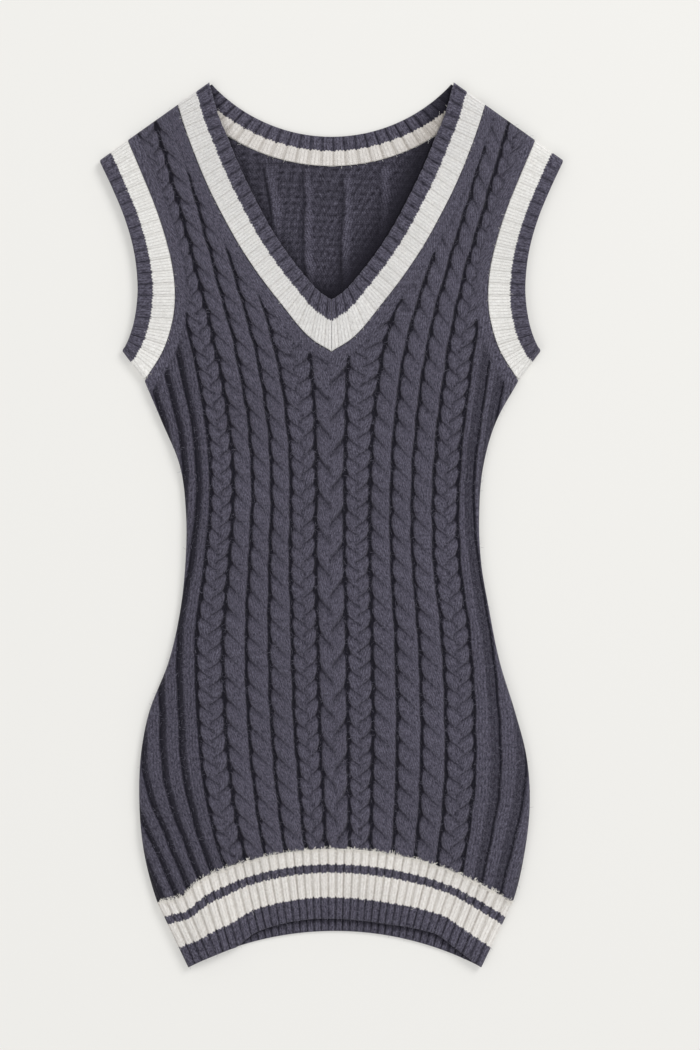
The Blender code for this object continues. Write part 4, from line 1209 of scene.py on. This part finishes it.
walls = np.concatenate((np.column_stack((rim[:, 1], rim[:, 0], rim[:, 0] + count)),
                        np.column_stack((rim[:, 1], rim[:, 0] + count, rim[:, 1] + count))))
shell = np.concatenate((np.column_stack((x, y, inside)), np.column_stack((x, y, outside))))
places = knit_places(x, y, triangles)
places = np.concatenate((places, places[:, ::-1], shell[walls][:, :, :2]))
every = np.concatenate((triangles, triangles[:, ::-1] + count, walls))
# Painted light: the raised ribs and the bumps of the purl are lighter, and the V's edges shade the
# inside.
inside_light = (0.54 + 0.6 * rough * (1 - smooth_rib) + 0.4 * smooth_rib) * neck_shade(x, y)
inside_marks = {"openness": inside_light, "purl": 0.9 - 0.9 * smooth_rib, "turn_x": shade_line_x,
                "turn_y": shade_line_y}
marks = {mark: np.concatenate((inside_marks.get(mark, 0.0 * x), values))
         for mark, values in marks.items()}
back = add_shell("back_reverse_knit", shell, every, places,
                 yarn_material("charcoal wool-blend cable knit, back", (), 1.0),
                 {**marks, "charcoal": np.arange(len(shell)) < count})
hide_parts("back_panel")


# ---------------------------------------------------------------- loose fibres
# Loose ends of the wool stand off the yarn as a thin soft fuzz. Along the hem's seam the ivory
# yarn's ends are longer and lie over the charcoal. They are drawn a little thicker than real ones.

FIBRES = (
    # name, piece, mark, number in a square metre, length, width, spin in degrees, colour
    ("fuzz_front", "front_cable_knit", "charcoal", 70000, 2.8, 0.13, 180, "#757282"),
    ("fuzz_hem_charcoal", "hem_rib_front", "charcoal", 90000, 2.6, 0.13, 180, "#757282"),
    ("fuzz_hem_ivory", "hem_rib_front", "ivory", 110000, 2.8, 0.14, 180, "#F6F3EE"),
    ("stray_hem_ends", "hem_rib_front", "seam", 1300000, 3.0, 0.36, 80, "#EAE6DF"),
    ("fuzz_hem_back", "hem_rib_back", "charcoal", 60000, 2.6, 0.14, 180, "#6C6978"),
    ("fuzz_neck_right", "neckband_rib_right", "ivory", 120000, 2.6, 0.14, 180, "#F6F3EE"),
    ("fuzz_neck_left", "neckband_rib_left", "ivory", 120000, 2.6, 0.14, 180, "#F6F3EE"),
    ("fuzz_neck_back", "neckband_back_rib", "ivory", 120000, 2.6, 0.14, 180, "#F6F3EE"),
    ("fuzz_armhole_right", "armhole_rib_right", "ivory", 70000, 2.6, 0.14, 180, "#F6F3EE"),
    ("fuzz_armhole_left", "armhole_rib_left", "ivory", 70000, 2.6, 0.14, 180, "#F6F3EE"),
)

fibre_tree = bpy.data.node_groups.new("loose fibres", "GeometryNodeTree")
fibre_tree.interface.new_socket("Geometry", in_out="OUTPUT", socket_type="NodeSocketGeometry")
FIBRE_INPUTS = (
    ("Geometry", "NodeSocketGeometry"),
    ("Mark", "NodeSocketString"),
    ("Per Square Metre", "NodeSocketFloat"),
    ("Length", "NodeSocketFloat"),
    ("Width", "NodeSocketFloat"),
    ("Spin", "NodeSocketFloat"),
    ("Seed", "NodeSocketInt"),
    ("Material", "NodeSocketMaterial"),
)
for label, kind in FIBRE_INPUTS:
    fibre_tree.interface.new_socket(label, in_out="INPUT", socket_type=kind)
FIBRE_FORMULAS = (
    ("density", ("MULTIPLY", "marked", "Per Square Metre")),
    ("share", ("ADD", "Y", 0.5)),
    ("run", ("MULTIPLY", "share", "Length")),
    ("bent_x", ("MULTIPLY_ADD", ("MULTIPLY", "share", "run"), 0.45, "X")),
    ("lift", ("MULTIPLY", ("MULTIPLY", "run", ("SUBTRACT", 1.3, "share")), 0.5)),
    ("back_spin", ("MULTIPLY", "Spin", -1.0)),
)
value = {socket.name: socket for socket in fibre_tree.nodes.new("NodeGroupInput").outputs}
value["marked"] = add_node(fibre_tree, "GeometryNodeInputNamedAttribute", {"data_type": "FLOAT"},
                           Name=value["Mark"]).outputs[0]
place = add_node(fibre_tree, "ShaderNodeSeparateXYZ",
                 Vector=add_node(fibre_tree, "GeometryNodeInputPosition").outputs[0]).outputs
value.update(X=place["X"], Y=place["Y"])
for label, formula in FIBRE_FORMULAS:
    value[label] = work_out(fibre_tree, formula, value)
roots = add_node(fibre_tree, "GeometryNodeDistributePointsOnFaces",
                 {"distribute_method": "RANDOM"}, Mesh=value["Geometry"],
                 Density=value["density"], Seed=value["Seed"]).outputs["Points"]
strip = add_node(fibre_tree, "GeometryNodeMeshGrid", Size_X=value["Width"], Size_Y=1.0,
                 Vertices_X=2, Vertices_Y=4).outputs["Mesh"]
bent, low_turn, high_turn = (
    add_node(fibre_tree, "ShaderNodeCombineXYZ", X=x, Y=y, Z=z).outputs[0]
    for x, y, z in ((value["bent_x"], value["run"], value["lift"]),
                    (-0.2, -0.4, value["back_spin"]), (0.4, 0.4, value["Spin"])))
strip = add_node(fibre_tree, "GeometryNodeSetPosition", Geometry=strip, Position=bent).outputs[0]
turns = add_node(fibre_tree, "FunctionNodeRandomValue", {"data_type": "FLOAT_VECTOR"},
                 _0=low_turn, _1=high_turn, Seed=value["Seed"]).outputs[0]
sizes = add_node(fibre_tree, "FunctionNodeRandomValue", {"data_type": "FLOAT"}, _2=0.5, _3=1.3,
                 Seed=value["Seed"]).outputs[1]
fibres = add_node(fibre_tree, "GeometryNodeInstanceOnPoints", Points=roots, Instance=strip,
                  Rotation=turns, Scale=sizes).outputs[0]
fibres = add_node(fibre_tree, "GeometryNodeRealizeInstances", Geometry=fibres).outputs[0]
fibres = add_node(fibre_tree, "GeometryNodeSetMaterial", Geometry=fibres,
                  Material=value["Material"]).outputs[0]
add_node(fibre_tree, "NodeGroupOutput", Geometry=fibres)

fibre_wools = {}
for number, row in enumerate(FIBRES):
    name, host, mark, count, length, width, spin, colour = row
    if colour not in fibre_wools:
        fibre_wools[colour] = new_material("loose wool fibre " + colour[1:], Base_Color=colour,
                                           Roughness=0.8, Sheen_Weight=0.3)[0]
    carrier = bpy.data.objects.new(name + "_carrier", bpy.data.objects[host].data.copy())
    bpy.context.scene.collection.objects.link(carrier)
    grow = carrier.modifiers.new("fibres", "NODES")
    grow.node_group = fibre_tree
    values = {"Mark": mark, "Per Square Metre": float(count), "Length": length * MM,
              "Width": width * MM, "Spin": math.radians(spin), "Seed": number + 3,
              "Material": fibre_wools[colour]}
    for socket in fibre_tree.interface.items_tree:
        if socket.in_out == "INPUT" and socket.name in values:
            grow[socket.identifier] = values[socket.name]
    evaluated = carrier.evaluated_get(bpy.context.evaluated_depsgraph_get())
    mesh = bpy.data.meshes.new_from_object(evaluated)
    bpy.data.objects.remove(carrier)
    piece = bpy.data.objects.new(name, mesh)
    bpy.context.scene.collection.objects.link(piece)
    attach(piece, "root")
